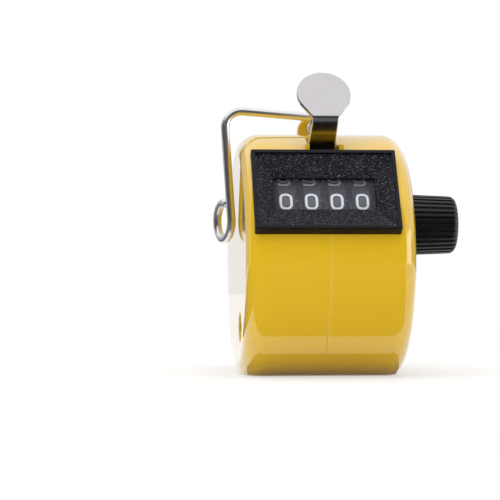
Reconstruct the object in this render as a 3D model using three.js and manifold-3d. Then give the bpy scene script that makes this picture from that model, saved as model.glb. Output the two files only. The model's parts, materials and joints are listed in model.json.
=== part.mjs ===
// Hand tally counter: a yellow drum case in two shells, a tilted black window bezel over four number
// wheels, a pressed thumb lever, a ribbed reset knob and a wire finger bail.
// Millimetres, +X to the right, +Y to the back, +Z up; the origin is the middle of the flat base.
import * as THREE from 'three';
import { mergeVertices } from 'three/addons/utils/BufferGeometryUtils.js';
import Module from 'manifold-3d';

// Fits shared by all pieces
const runningGap = 0.3;
const seatGap = 0.1;
const cutOverrun = 1.0;

// Case drum
const caseRadius = 29.0;
const caseCentreHeight = 27.0;
const caseHalfWidth = 19.2;
const caseRimFillet = 5.0;
const caseWall = 1.8;
const caseSeamX = -0.6;
const caseSeamGap = 0.1;
const drumTop = caseCentreHeight + caseRadius;

// Side plates of the inner frame, set in from the case's side faces
const frameLeftInset = 5.4;
const frameRightInset = 5.1;
const frameLeftX = frameLeftInset - caseHalfWidth;
const frameRightX = caseHalfWidth - frameRightInset;
const framePlateThickness = 1.0;
const frameShaftEyeRadius = 6.5;
const frameLeverEyeRadius = 4.5;
const framePillarEyeRadius = 4.0;
const framePinionEyeRadius = 3.4;

// Number wheels: the row fills the frame, less the ratchet and the lever's arm on its right
const wheelRadius = 10.9;
const wheelFrontDepth = 3.67;
const wheelAxisAngle = 32.3;
const wheelCount = 4;
const wheelGap = 1.9;
const wheelShaftRadius = 1.5;
const ratchetWidth = 2.0;
const ratchetArmClearance = 0.65;
const leverArmThickness = 1.2;
const wheelSideClearance = 1.75;
const wheelRowLeftX = frameLeftX + framePlateThickness / 2 + wheelSideClearance;
const wheelRowRightX = frameRightX - framePlateThickness / 2 - runningGap - leverArmThickness
  - ratchetArmClearance - ratchetWidth - seatGap;
const wheelRowCentreX = (wheelRowLeftX + wheelRowRightX) / 2;
const wheelPitch = (wheelRowRightX - wheelRowLeftX + wheelGap) / wheelCount;
const wheelRimWidth = wheelPitch - wheelGap;

// Carry gears: one tooth space of the wheel gear faces the pinion at rest
const gearTeeth = 20;
const gearStepDown = 1.1;
const gearToothHeight = 2.0;
const gearTipRadius = wheelRadius - gearStepDown;
const gearRootRadius = gearTipRadius - gearToothHeight;
const gearWidth = 0.7;
const gearToothRootHalfShare = 0.2;
const gearToothTipHalfShare = 0.085;
const carryDiscStepDown = 0.2;
const carryDiscRadius = gearRootRadius - carryDiscStepDown;
const carrySectorAngle = 36;
const carryToothSink = 0.5;
const pinionTeeth = 6;
const pinionTipRadius = 3.3;
const pinionToothHeight = 1.65;
const pinionRootRadius = pinionTipRadius - pinionToothHeight;
const pinionWidth = 1.5;
const pinionToothRootHalfShare = 0.14;
const pinionToothTipHalfShare = 0.06;
const pinionAxisClearance = 0.8;
const pinionDistance = wheelRadius + pinionAxisClearance;
const pinionAngle = 60;
const pinionShaftRadius = 0.8;

// Ratchet on the units wheel and its feed pawl
const ratchetTeeth = 10;
const ratchetTipRadius = 4.4;
const ratchetRootRadius = 2.9;
const leverTravelAngle = 8;
const pawlFaceGapAngle = 7.0;
const pawlWidth = 1.6;
const pawlNoseLength = 3.2;
const pawlNoseThickness = 0.3;
const pawlFaceLeanShare = 0.35;
const pawlBodyLength = 6.0;
const pawlBodyHeight = 2.4;
const pawlPinRadius = 0.9;
const pawlEyeRadius = 1.9;

// Thumb lever
const leverPivotY = 5.0;
const leverPivotRise = 18.0;
const leverPivotZ = caseCentreHeight + leverPivotRise;
const leverCentreX = -0.6;
const leverWidth = 5.8;
const leverThickness = 1.1;
const leverSlotPointInset = 16.7;
const leverSlotPointY = leverSlotPointInset - caseRadius;
const leverFoldReach = 6.9;
const leverFoldY = leverSlotPointY - leverFoldReach;
const leverFoldAboveDrum = 2.7;
const leverFoldZ = drumTop + leverFoldAboveDrum;
const leverSlotPointBelowTop = 4.2;
const leverSlotPointZ = drumTop - leverSlotPointBelowTop;
const leverKneeY = -3.5;
const leverKneeRise = 1.5;
const leverKneeZ = leverPivotZ + leverKneeRise;
const leverDiscRadius = 6.15;
const leverDiscDistance = 6.8;
const leverDiscAngle = 55.5;
const leverPinRadius = 1.2;
const leverHubRadius = 2.6;
const leverTailLength = 6.4;
const leverTailWidth = 4.4;

// Lever slot in the case
const slotFrontReach = 4.3;
const slotBackReach = 4.2;
const slotFrontY = leverSlotPointY - slotFrontReach;
const slotBackY = leverSlotPointY + slotBackReach;
const slotSideGap = 0.5;
const slotCheekWidth = 1.0;
const slotCheekLead = 0.3;
const slotCheekBelowTop = 3.1;

// Window bezel: its middle stands off the drum at bezelRiseAngle, and its face leans back by bezelTiltAngle
const bezelTiltAngle = 32;
const bezelCentreX = -1.25;
const bezelRiseAngle = 32.0;
const bezelStandOff = 0.6;
const bezelSideMargin = 2.8;
const bezelWidth = 2 * (caseHalfWidth - bezelSideMargin);
const bezelHeight = 21.2;
const bezelDepth = 6.65;
const bezelFlangeThickness = 1.5;
const bezelWebThickness = 3.85;
const bezelFlangeOverhang = 1.6;
const bezelSkirtWall = 1.2;
const bezelRimWidth = 0.9;
const bezelRimStep = 0.5;
const windowSideMargin = 1.05;
const windowWidth = wheelRowRightX - wheelRowLeftX + 2 * windowSideMargin;
const windowHeight = 8.3;
const windowLeftOfRow = 0.2;
const windowShiftX = wheelRowCentreX - windowLeftOfRow - bezelCentreX;
const windowShiftUp = 0;
const windowFunnelDepth = 2.2;
const windowLipThickness = 0.5;
const paneBorder = 0.8;
const paneThickness = 0.6;

// Reset knob
const knobRadius = 6.95;
const knobTipRadius = 6.6;
const knobLength = 10.6;
const knobEndRound = 1.6;
const knobStandOff = 0.4;
const knobRibs = 32;
const knobRibHeight = 0.4;
const knobRibRootHalfShare = 0.3;
const knobRibTipHalfShare = 0.15;
const knobShaftDepth = 7.3;

// Knob bush in the right wall
const bushWall = 1.2;
const bushFlangeWidth = 1.3;
const bushFlangeThickness = 1.0;

// Frame pillars: one drops below the wheels' axis, one below the drum's
const pillarRadius = 1.75;
const pillarUpperY = 9.6;
const pillarUpperDrop = 6.7;
const pillarLowerY = 2.0;
const pillarLowerDrop = 15.0;
const pillarBossWall = 1.4;
const pinOverhang = 0.8;

// Case screws: the lower rear one goes in from the right, and rises are heights above the drum's axis
const screwLowerFrontY = -9.6;
const screwLowerFrontRise = -15.8;
const screwLowerRearY = 13.5;
const screwLowerRearRise = -16.5;
const screwUpperRearY = 17.0;
const screwUpperRearRise = 13.0;
const screwRecessRadius = 3.4;
const screwRecessDepth = 2.1;
const screwHeadRadius = 2.7;
const screwHeadHeight = 1.7;
const screwShankRadius = 1.25;
const screwLength = 22.0;
const screwBossWall = 1.2;
const screwDriveWidth = 0.7;
const screwDriveLength = 3.2;
const screwDriveDepth = 0.8;

// Return spring, backstop and pawl spring
const springRadius = 1.7;
const springWire = 0.5;
const springTurns = 7;
const backstopWidth = 2.0;
const backstopThickness = 0.4;
const backstopFootLength = 3.2;
const pawlSpringWire = 0.4;
const pawlSpringRadius = 1.5;
const pawlSpringLeg = 3.0;
const pawlSpringStartAngle = 30;
const pawlSpringTurnAngle = 300;

// Shaft clip
const clipThickness = 0.6;
const clipRadius = 3.0;
const clipMouthHalfAngle = 35;
const shaftGrooveDepth = 0.35;

// Bail lug on the seam and the wire bail
const lugY = 7.0;
const lugThickness = 4.0;
const lugWidth = 6.4;
const lugAboveDrum = 1.3;
const lugTopCentreZ = drumTop + lugAboveDrum;
const bailHoleOffset = 0.7;
const bailHoleZ = lugTopCentreZ + bailHoleOffset;
const bailWireRadius = 1.0;
const bailFrontY = 2.9;
const bailBendRadius = 1.5;
const bailRunStartRise = 2.3;
const bailRunEndRise = 4.0;
const bailRunStartZ = bailHoleZ + bailRunStartRise;
const bailRunEndZ = bailHoleZ + bailRunEndRise;
const bailCornerRadius = 4.0;
const bailLegTopClearance = 2.7;
const bailLegBottomClearance = 1.3;
const bailLegTopX = -caseHalfWidth - bailLegTopClearance;
const bailLegBottomX = -caseHalfWidth - bailLegBottomClearance;
const bailLegBottomY = -1.5;
const bailTailLength = 1.6;
const eyeRadius = 4.3;
const eyeCentreRise = 8.8;
const eyeCentreZ = caseCentreHeight + eyeCentreRise;
const eyeFlareAngle = 18;
const eyeEndAngle = 117;

// Facets
const drumFacets = 72;
const filletFacets = 4;
const innerFilletFacets = 3;
const discFacets = 36;
const coilFacets = 8;
const coilWireFacets = 5;
const eyeFacets = 24;
const bailSteps = 76;
const wheelFacets = 32;
const pinFacets = 16;
const bossFacets = 20;
const wireFacets = 8;

const wasm = await Module();
wasm.setup();

const radians = THREE.MathUtils.degToRad;

// A closed three.js geometry as a solid, with its outside facing out
function solid(geometry) {
  const bare = new THREE.BufferGeometry();
  bare.setAttribute('position', geometry.getAttribute('position').clone());
  if (geometry.index) bare.setIndex(geometry.index.clone());
  const merged = mergeVertices(bare, 1e-5);
  const points = merged.getAttribute('position').array;
  const kept = [];
  for (let i = 0; i < merged.index.count; i += 3) {
    const [a, b, c] = [0, 1, 2].map((k) => merged.index.getX(i + k));
    if (a !== b && b !== c && c !== a) kept.push(a, b, c);
  }
  const corner = (i) => new THREE.Vector3().fromArray(points, 3 * i);
  let volume = 0;
  for (let i = 0; i < kept.length; i += 3) {
    volume += corner(kept[i]).dot(corner(kept[i + 1]).cross(corner(kept[i + 2])));
  }
  if (volume < 0) kept.reverse();
  const triVerts = new Uint32Array(kept);
  return new wasm.Manifold(new wasm.Mesh({ numProp: 3, vertProperties: new Float32Array(points), triVerts }));
}

function geometryOf(body) {
  const mesh = body.getMesh();
  const geometry = new THREE.BufferGeometry();
  geometry.setAttribute('position', new THREE.BufferAttribute(new Float32Array(mesh.vertProperties), 3));
  geometry.setIndex(new THREE.BufferAttribute(new Uint32Array(mesh.triVerts), 1));
  geometry.computeVertexNormals();
  return geometry;
}

function joined(...bodies) {
  return bodies.reduce((whole, body) => whole.add(body));
}

// A box from its two opposite corners
function block([x0, y0, z0], [x1, y1, z1]) {
  const box = new THREE.BoxGeometry(x1 - x0, y1 - y0, z1 - z0);
  return solid(box.translate((x0 + x1) / 2, (y0 + y1) / 2, (z0 + z1) / 2));
}

// A round bar along X, from x0 to x1, about the line at y, z
function rod(radius, x0, x1, [y, z] = [0, 0], facets = pinFacets) {
  const bar = new THREE.CylinderGeometry(radius, radius, x1 - x0, facets);
  return solid(bar.rotateZ(-Math.PI / 2).translate((x0 + x1) / 2, y, z));
}

function tubeX(outer, inner, x0, x1, place = [0, 0], facets = bossFacets) {
  const bore = rod(inner, x0 - cutOverrun, x1 + cutOverrun, place, facets);
  return rod(outer, x0, x1, place, facets).subtract(bore);
}

// A profile of [x, radius] points turned about the X axis
function turned(profile, facets) {
  const lathe = new THREE.LatheGeometry(profile.map(([x, r]) => new THREE.Vector2(r, x)), facets);
  return solid(lathe.rotateZ(-Math.PI / 2));
}

// An outline in the Y-Z plane, given thickness along X from x0 to x1
function plateX(outline, x0, x1) {
  const shape = outline instanceof THREE.Shape ? outline : new THREE.Shape(outline);
  const plate = new THREE.ExtrudeGeometry(shape,
    { depth: x1 - x0, bevelEnabled: false, curveSegments: pinFacets });
  const axes = new THREE.Matrix4().makeBasis(
    new THREE.Vector3(0, 1, 0), new THREE.Vector3(0, 0, 1), new THREE.Vector3(1, 0, 0));
  return solid(plate.applyMatrix4(axes).translate(x0, 0, 0));
}

function polar(radius, degrees, [y, z] = [0, 0]) {
  return new THREE.Vector2(y + radius * Math.cos(radians(degrees)), z + radius * Math.sin(radians(degrees)));
}

// Teeth as trapezoids: each half width is a share of the tooth's turn
function toothedOutline(teeth, root, tip, rootHalfShare, tipHalfShare, phase) {
  const turn = 360 / teeth;
  const points = [];
  for (let k = 0; k < teeth; k += 1) {
    const middle = phase + k * turn;
    points.push(polar(root, middle - rootHalfShare * turn), polar(tip, middle - tipHalfShare * turn));
    points.push(polar(tip, middle + tipHalfShare * turn), polar(root, middle + rootHalfShare * turn));
  }
  return points;
}

// A bent strip of even thickness along a line of [y, z] points
function stripOutline(line, thickness) {
  const sides = [[], []];
  line.forEach((point, i) => {
    const into = point.clone().sub(line[Math.max(i - 1, 0)]).normalize();
    const out = line[Math.min(i + 1, line.length - 1)].clone().sub(point).normalize();
    const along = into.clone().add(out).normalize();
    const across = new THREE.Vector2(-along.y, along.x);
    const reach = thickness / 2 / Math.abs(across.dot(new THREE.Vector2(-out.y || -into.y, out.x || into.x)));
    sides[0].push(point.clone().addScaledVector(across, reach));
    sides[1].unshift(point.clone().addScaledVector(across, -reach));
  });
  return [...sides[0], ...sides[1]];
}

// The convex outline round circles given as [y, z, radius]
function hullOutline(circles) {
  const points = circles.flatMap(([y, z, radius]) => (
    Array.from({ length: bossFacets }, (_, k) => polar(radius, k * 360 / bossFacets, [y, z]))));
  points.sort((a, b) => a.x - b.x || a.y - b.y);
  const turn = (o, a, b) => (a.x - o.x) * (b.y - o.y) - (a.y - o.y) * (b.x - o.x);
  const chain = (list) => list.reduce((done, point) => {
    while (done.length > 1 && turn(done.at(-2), done.at(-1), point) <= 0) done.pop();
    return [...done, point];
  }, []);
  return [...chain(points).slice(0, -1), ...chain(points.reverse()).slice(0, -1)];
}

function wireAlong(path, radius, steps, facets = wireFacets) {
  const section = new THREE.Shape(Array.from({ length: facets }, (_, k) => polar(radius, k * 360 / facets)));
  return solid(new THREE.ExtrudeGeometry(section, { steps, extrudePath: path, bevelEnabled: false }));
}

// A path of straight lines whose corners are rounded, each to its own radius
function roundedPath(corners) {
  const path = new THREE.CurvePath();
  let from = corners[0].at;
  for (let i = 1; i < corners.length - 1; i += 1) {
    const { at, round } = corners[i];
    const back = from.clone().sub(at);
    const on = corners[i + 1].at.clone().sub(at);
    const inside = back.angleTo(on);
    const trim = round / Math.tan(inside / 2);
    const start = at.clone().addScaledVector(back.normalize(), trim);
    const end = at.clone().addScaledVector(on.normalize(), trim);
    path.add(new THREE.LineCurve3(from, start));
    path.add(new THREE.QuadraticBezierCurve3(start, at, end));
    from = end;
  }
  path.add(new THREE.LineCurve3(from, corners.at(-1).at));
  return path;
}

// Materials
const plastic = (color) => new THREE.MeshStandardMaterial({ color, roughness: 0.3, metalness: 0 });
const metal = (color) => new THREE.MeshStandardMaterial({ color, roughness: 0.3, metalness: 1 });
const yellow = () => plastic(0xdcb62b);
const black = () => plastic(0x1c1c1f);
const wheelGrey = () => plastic(0x4a484f);
const gearCream = () => plastic(0xe6e0cc);
const steel = () => metal(0xc9c7c8);
const brass = () => metal(0xc9a44f);
const clear = () => new THREE.MeshStandardMaterial(
  { color: 0xf2f6f8, roughness: 0.05, transparent: true, opacity: 0.3 });

const counter = new THREE.Group();

function place(name, body, material, parent = counter, [x, y, z] = [0, 0, 0]) {
  const mesh = new THREE.Mesh(geometryOf(body), material);
  mesh.name = name;
  mesh.position.set(x, y, z);
  parent.add(mesh);
  return mesh;
}

// Places that several pieces share, as [y, z]
const drumAxis = [0, caseCentreHeight];
const wheelAxisReach = caseRadius - wheelFrontDepth - wheelRadius;
const wheelAxis = polar(wheelAxisReach, 180 - wheelAxisAngle, drumAxis).toArray();
const [wheelAxisY, wheelAxisZ] = wheelAxis;
const leverAxis = [leverPivotY, leverPivotZ];
const pinionAxis = polar(pinionDistance, -pinionAngle, wheelAxis).toArray();
const pillarUpperZ = wheelAxisZ - pillarUpperDrop;
const upperPillar = [pillarUpperY, pillarUpperZ];
const lowerPillar = [pillarLowerY, caseCentreHeight - pillarLowerDrop];
const wheelPlaceShares = [1.5, 0.5, -0.5, -1.5];
const wheelCentres = wheelPlaceShares.map((share) => wheelRowCentreX + share * wheelPitch);
const wheelNames = ['units', 'tens', 'hundreds', 'thousands'];
const frameLeftInner = frameLeftX + framePlateThickness / 2;
const frameLeftOuter = frameLeftX - framePlateThickness / 2;
const frameRightInner = frameRightX - framePlateThickness / 2;
const frameRightOuter = frameRightX + framePlateThickness / 2;
const caseInnerX = caseHalfWidth - caseWall;
const screwPlaces = {
  lower_front: { side: -1, centre: [screwLowerFrontY, caseCentreHeight + screwLowerFrontRise] },
  lower_rear: { side: 1, centre: [screwLowerRearY, caseCentreHeight + screwLowerRearRise] },
  upper_rear: { side: -1, centre: [screwUpperRearY, caseCentreHeight + screwUpperRearRise] },
};

// The drum's turned outline, grown or shrunk by an offset from the outer skin
function drumProfile(offset, facets) {
  const fillet = caseRimFillet + offset;
  const side = caseHalfWidth + offset;
  const corner = side - fillet;
  const rim = caseRadius + offset - fillet;
  const right = Array.from({ length: facets + 1 }, (_, k) => {
    const angle = (k / facets) * Math.PI / 2;
    return [corner + fillet * Math.sin(angle), rim + fillet * Math.cos(angle)];
  });
  const left = right.map(([x, r]) => [-x, r]).reverse();
  return [[-side, 0], ...left, ...right, [side, 0]];
}

function drum(offset, facets) {
  return turned(drumProfile(offset, facets), drumFacets).translate(0, 0, caseCentreHeight);
}

// Everything above a height, as a cutter or a keeper
function above(height) {
  const reach = caseRadius + caseCentreHeight;
  return block([-reach, -reach, height], [reach, reach, 2 * reach]);
}

// The bezel's own frame: x across, y up the slope, z out of the face
const bezelFrame = new THREE.Group();
const bezelReach = caseRadius + bezelStandOff;
bezelFrame.position.set(bezelCentreX, ...polar(bezelReach, 180 - bezelRiseAngle, drumAxis).toArray());
bezelFrame.rotation.x = radians(90 - bezelTiltAngle);
bezelFrame.updateMatrixWorld();
counter.add(bezelFrame);
const inBezelFrame = bezelFrame.matrixWorld.clone().invert();

function moved(body, matrix) {
  return body.transform(matrix.elements);
}

const skirtWidth = bezelWidth - 2 * bezelFlangeOverhang;
const skirtHeight = bezelHeight - 2 * bezelFlangeOverhang;

// A rectangle in the bezel's frame, between two depths below the face
function bezelBlock(width, height, deep, shallow, [x, y] = [0, 0]) {
  return block([x - width / 2, y - height / 2, -deep], [x + width / 2, y + height / 2, -shallow]);
}

// The window's funnel: a frustum from the rim's inner edge down to the window
function windowFunnel() {
  const rimX = bezelWidth / 2 - bezelRimWidth;
  const rimY = bezelHeight / 2 - bezelRimWidth;
  const upper = [[-rimX, -rimY], [rimX, -rimY], [rimX, rimY], [-rimX, rimY]];
  const halfX = windowWidth / 2;
  const halfY = windowHeight / 2;
  const lower = [[-halfX, -halfY], [halfX, -halfY], [halfX, halfY], [-halfX, halfY]]
    .map(([x, y]) => [x + windowShiftX, y + windowShiftUp]);
  const points = [
    ...lower.map(([x, y]) => [x, y, -windowFunnelDepth]),
    ...upper.map(([x, y]) => [x, y, -bezelRimStep]),
    ...upper.map(([x, y]) => [x, y, cutOverrun]),
  ];
  const faces = [0, 2, 1, 0, 3, 2, 8, 9, 10, 8, 10, 11];
  for (const ring of [0, 4]) {
    for (let k = 0; k < 4; k += 1) {
      const [a, b] = [ring + k, ring + (k + 1) % 4];
      faces.push(a, b, b + 4, a, b + 4, a + 4);
    }
  }
  const funnel = new THREE.BufferGeometry();
  funnel.setAttribute('position', new THREE.BufferAttribute(new Float32Array(points.flat()), 3));
  funnel.setIndex(faces);
  return solid(funnel);
}

const pocketDepth = windowFunnelDepth + windowLipThickness;
const windowPlace = [windowShiftX, windowShiftUp];

function bezelBody() {
  const flange = bezelBlock(bezelWidth, bezelHeight, bezelDepth, bezelFlangeThickness - seatGap);
  const face = bezelBlock(bezelWidth, bezelHeight, bezelFlangeThickness, 0);
  const skin = moved(drum(runningGap, filletFacets), inBezelFrame);
  const skirt = bezelBlock(skirtWidth, skirtHeight, bezelDepth, 0);
  const innerWidth = skirtWidth - 2 * bezelSkirtWall;
  const innerHeight = skirtHeight - 2 * bezelSkirtWall;
  const hollow = bezelBlock(innerWidth, innerHeight, bezelDepth + cutOverrun, bezelWebThickness);
  const opening = bezelBlock(windowWidth, windowHeight,
    bezelDepth, windowFunnelDepth - runningGap, windowPlace);
  const pocketWidth = windowWidth + 2 * paneBorder + 2 * runningGap;
  const pocketHeight = windowHeight + 2 * paneBorder + 2 * runningGap;
  const pocket = bezelBlock(pocketWidth, pocketHeight, bezelDepth, pocketDepth, windowPlace);
  return flange.subtract(skin).add(face).add(skirt).subtract(hollow).subtract(windowFunnel())
    .subtract(opening).subtract(pocket);
}

function windowPane() {
  const front = pocketDepth + runningGap;
  const [width, height] = [windowWidth + 2 * paneBorder, windowHeight + 2 * paneBorder];
  return bezelBlock(width, height, front + paneThickness, front, windowPlace);
}

// The case's opening for the skirt, and a shallow seat round it for the flange
function bezelOpening() {
  const cut = bezelBlock(skirtWidth + 2 * runningGap, skirtHeight + 2 * runningGap,
    bezelDepth + cutOverrun, -cutOverrun);
  const seat = bezelBlock(bezelWidth + 2 * seatGap, bezelHeight + 2 * seatGap,
    bezelFlangeThickness + seatGap, -cutOverrun);
  return moved(cut.add(seat), bezelFrame.matrixWorld);
}

const slotHalfWidth = leverWidth / 2 + slotSideGap;

// The slot's front wall slopes as the lever's strip does, and goes just through the case's wall
function leverSlot() {
  const skinZ = caseCentreHeight + Math.sqrt(caseRadius ** 2 - slotFrontY ** 2);
  const topZ = drumTop + cutOverrun;
  const lowZ = skinZ - 2 * caseWall;
  const runPerRise = leverFoldReach / (leverFoldZ - leverSlotPointZ);
  const frontAt = (z) => new THREE.Vector2(slotFrontY - (z - skinZ) * runPerRise, z);
  const outline = [frontAt(topZ), frontAt(lowZ), new THREE.Vector2(slotBackY, lowZ),
    new THREE.Vector2(slotBackY, topZ)];
  return plateX(outline, leverCentreX - slotHalfWidth, leverCentreX + slotHalfWidth);
}

// Flat-topped cheeks on both sides of the slot, which end where the drum rises past them
function slotCheeks() {
  const outer = slotHalfWidth + slotCheekWidth;
  const column = block([leverCentreX - outer, slotFrontY - slotCheekLead, leverPivotZ],
    [leverCentreX + outer, slotBackY, drumTop - slotCheekBelowTop]);
  const bezelRoom = bezelBlock(bezelWidth, bezelHeight + 2 * runningGap, bezelDepth, -cutOverrun);
  return column.subtract(drum(-caseWall, innerFilletFacets))
    .subtract(moved(bezelRoom, bezelFrame.matrixWorld));
}

function lug() {
  const [y0, y1] = [lugY - lugThickness / 2, lugY + lugThickness / 2];
  const halfWidth = lugWidth / 2;
  const base = drumTop - caseRimFillet;
  const round = new THREE.CylinderGeometry(halfWidth, halfWidth, lugThickness, bossFacets);
  const crown = solid(round.translate(caseSeamX, lugY, lugTopCentreZ));
  const post = block([caseSeamX - halfWidth, y0, base], [caseSeamX + halfWidth, y1, lugTopCentreZ]);
  const holeRadius = bailWireRadius + runningGap;
  const hole = new THREE.CylinderGeometry(holeRadius, holeRadius, 2 * lugThickness, pinFacets);
  return crown.add(post).subtract(drum(-caseWall, innerFilletFacets))
    .subtract(solid(hole.translate(caseSeamX, lugY, bailHoleZ)));
}

// Tubes from the side walls: screw columns up to the seam, short sockets for the pillar ends
function screwColumns(outer) {
  const reach = caseInnerX + seatGap;
  return joined(...Object.values(screwPlaces)
    .map(({ centre }) => rod(outer, -reach, reach, centre, bossFacets)));
}

const pillarSocketRadius = pillarRadius + seatGap + pillarBossWall;

function pillarSockets() {
  const reach = caseInnerX + seatGap;
  return joined(...[upperPillar, lowerPillar].flatMap((centre) => [
    rod(pillarSocketRadius, -reach, frameLeftOuter - runningGap, centre, bossFacets),
    rod(pillarSocketRadius, frameRightOuter + runningGap, reach, centre, bossFacets),
  ]));
}

// A rod between two depths below a side face of the case: side is -1 for the left and 1 for the right
function sideRod(side, radius, shallow, deep, centre, facets) {
  const [near, far] = [side * (caseHalfWidth - shallow), side * (caseHalfWidth - deep)];
  return rod(radius, Math.min(near, far), Math.max(near, far), centre, facets);
}

function screwCuts() {
  const pilotEnd = screwRecessDepth + screwLength + cutOverrun;
  return joined(...Object.values(screwPlaces).flatMap(({ side, centre }) => [
    sideRod(side, screwRecessRadius, -cutOverrun, screwRecessDepth, centre, bossFacets),
    sideRod(side, screwShankRadius + runningGap, 0, pilotEnd, centre),
  ]));
}

function pillarBores() {
  return joined(...[upperPillar, lowerPillar].map((centre) => (
    rod(pillarRadius + seatGap, -caseInnerX, caseInnerX, centre))));
}

const bushRadius = wheelShaftRadius + runningGap + bushWall;

function wholeCase() {
  const skin = drum(0, filletFacets).intersect(above(0));
  const hollow = drum(-caseWall, innerFilletFacets).intersect(above(caseWall));
  const columns = joined(screwColumns(screwRecessRadius + screwBossWall), pillarSockets());
  const shell = skin.subtract(hollow).add(columns.intersect(skin)).add(slotCheeks()).add(lug());
  const bushHole = rod(bushRadius + seatGap, caseInnerX - cutOverrun, caseHalfWidth + cutOverrun,
    wheelAxis, bossFacets);
  return shell.subtract(bezelOpening()).subtract(leverSlot()).subtract(screwCuts())
    .subtract(pillarBores()).subtract(bushHole);
}

function caseShells() {
  const reach = 2 * (caseRadius + caseCentreHeight);
  const whole = wholeCase();
  const leftSide = block([-reach, -reach, -reach], [caseSeamX - caseSeamGap / 2, reach, reach]);
  const rightSide = block([caseSeamX + caseSeamGap / 2, -reach, -reach], [reach, reach, reach]);
  place('left_shell', whole.intersect(leftSide), yellow());
  place('right_shell', whole.intersect(rightSide), yellow());
}

function bezelPieces() {
  place('bezel', bezelBody(), black(), bezelFrame);
  place('window_pane', windowPane(), clear(), bezelFrame);
}

// Side plates of the inner frame, bored for every pin that crosses them
function framePlate(x0, x1) {
  const outline = hullOutline([
    [...wheelAxis, frameShaftEyeRadius], [...leverAxis, frameLeverEyeRadius],
    [...upperPillar, framePillarEyeRadius], [...lowerPillar, framePillarEyeRadius],
    [...pinionAxis, framePinionEyeRadius],
  ]);
  const bores = [
    [wheelShaftRadius + runningGap, wheelAxis], [leverPinRadius + seatGap, leverAxis],
    [pinionShaftRadius + seatGap, pinionAxis], [pillarRadius + seatGap, upperPillar],
    [pillarRadius + seatGap, lowerPillar],
  ];
  return bores.reduce((plate, [radius, centre]) => (
    plate.subtract(rod(radius, x0 - cutOverrun, x1 + cutOverrun, centre))), plateX(outline, x0, x1));
}

function framePieces() {
  place('frame_plate_left', framePlate(frameLeftOuter, frameLeftInner), steel());
  place('frame_plate_right', framePlate(frameRightInner, frameRightOuter), steel());
  const pillarEnd = caseInnerX - seatGap;
  const pillar = () => rod(pillarRadius, -pillarEnd, pillarEnd);
  place('frame_pillar_upper', pillar(), steel(), counter, [0, ...upperPillar]);
  place('frame_pillar_lower', pillar(), steel(), counter, [0, ...lowerPillar]);
  const pinEnds = [frameLeftOuter - pinOverhang, frameRightOuter + pinOverhang];
  place('lever_pin', rod(leverPinRadius, ...pinEnds), steel(), counter, [0, ...leverAxis]);
  place('pinion_shaft', rod(pinionShaftRadius, ...pinEnds), steel(), counter, [0, ...pinionAxis]);
}

// One pan-head screw with a crossed drive, its head on the recess floor
function caseScrew(side) {
  const under = screwRecessDepth - seatGap;
  const top = under - screwHeadHeight;
  const head = sideRod(side, screwHeadRadius, top, under, [0, 0], bossFacets);
  const shank = sideRod(side, screwShankRadius, under - screwHeadHeight / 2, under + screwLength);
  const driveX = [top - cutOverrun, top + screwDriveDepth].map((deep) => side * (caseHalfWidth - deep));
  const [low, high] = [Math.min(...driveX), Math.max(...driveX)];
  const [half, long] = [screwDriveWidth / 2, screwDriveLength / 2];
  const upright = block([low, -half, -long], [high, half, long]);
  const level = block([low, -long, -half], [high, long, half]);
  return head.add(shank).subtract(upright).subtract(level);
}

function caseScrews() {
  for (const [spot, { side, centre }] of Object.entries(screwPlaces)) {
    place(`case_screw_${spot}`, caseScrew(side), steel(), counter, [0, ...centre]);
  }
}

const wheelBore = wheelShaftRadius + runningGap;

// A number wheel about its own axis: rim, gear on the right, carry disc with its tooth pair on the left
function numberWheel(hasGear, hasCarry) {
  const half = wheelRimWidth / 2;
  const parts = [rod(wheelRadius, -half, half, [0, 0], wheelFacets)];
  if (hasGear) {
    const phase = 180 / gearTeeth - pinionAngle;
    const teeth = toothedOutline(gearTeeth, gearRootRadius, gearTipRadius,
      gearToothRootHalfShare, gearToothTipHalfShare, phase);
    parts.push(plateX(teeth, half, half + gearWidth));
  }
  if (hasCarry) {
    const turn = 360 / gearTeeth;
    const disc = rod(carryDiscRadius, -half - gearWidth, -half, [0, 0], wheelFacets);
    const middle = -pinionAngle - carrySectorAngle;
    const pair = [middle - turn / 2, middle + turn / 2].map((angle) => plateX([
      polar(carryDiscRadius - carryToothSink, angle - gearToothRootHalfShare * turn),
      polar(gearTipRadius, angle - gearToothTipHalfShare * turn),
      polar(gearTipRadius, angle + gearToothTipHalfShare * turn),
      polar(carryDiscRadius - carryToothSink, angle + gearToothRootHalfShare * turn),
    ], -half - gearWidth, -half));
    parts.push(disc, ...pair);
  }
  const bore = rod(wheelBore, -wheelPitch, wheelPitch);
  return joined(...parts).subtract(bore);
}

function pinion() {
  const teeth = toothedOutline(pinionTeeth, pinionRootRadius, pinionTipRadius,
    pinionToothRootHalfShare, pinionToothTipHalfShare, 180 - pinionAngle);
  const bore = rod(pinionShaftRadius + runningGap / 2, -pinionWidth, pinionWidth);
  return plateX(teeth, -pinionWidth / 2, pinionWidth / 2).subtract(bore);
}

function wheelTrain() {
  wheelNames.forEach((name, k) => {
    const wheel = numberWheel(k > 0, k < wheelNames.length - 1);
    place(`wheel_${name}`, wheel, wheelGrey(), counter, [wheelCentres[k], ...wheelAxis]);
  });
  for (let k = 1; k < wheelNames.length; k += 1) {
    const between = (wheelCentres[k] + wheelCentres[k - 1]) / 2;
    place(`carry_pinion_${wheelNames[k]}`, pinion(), gearCream(), counter, [between, ...pinionAxis]);
  }
}

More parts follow.
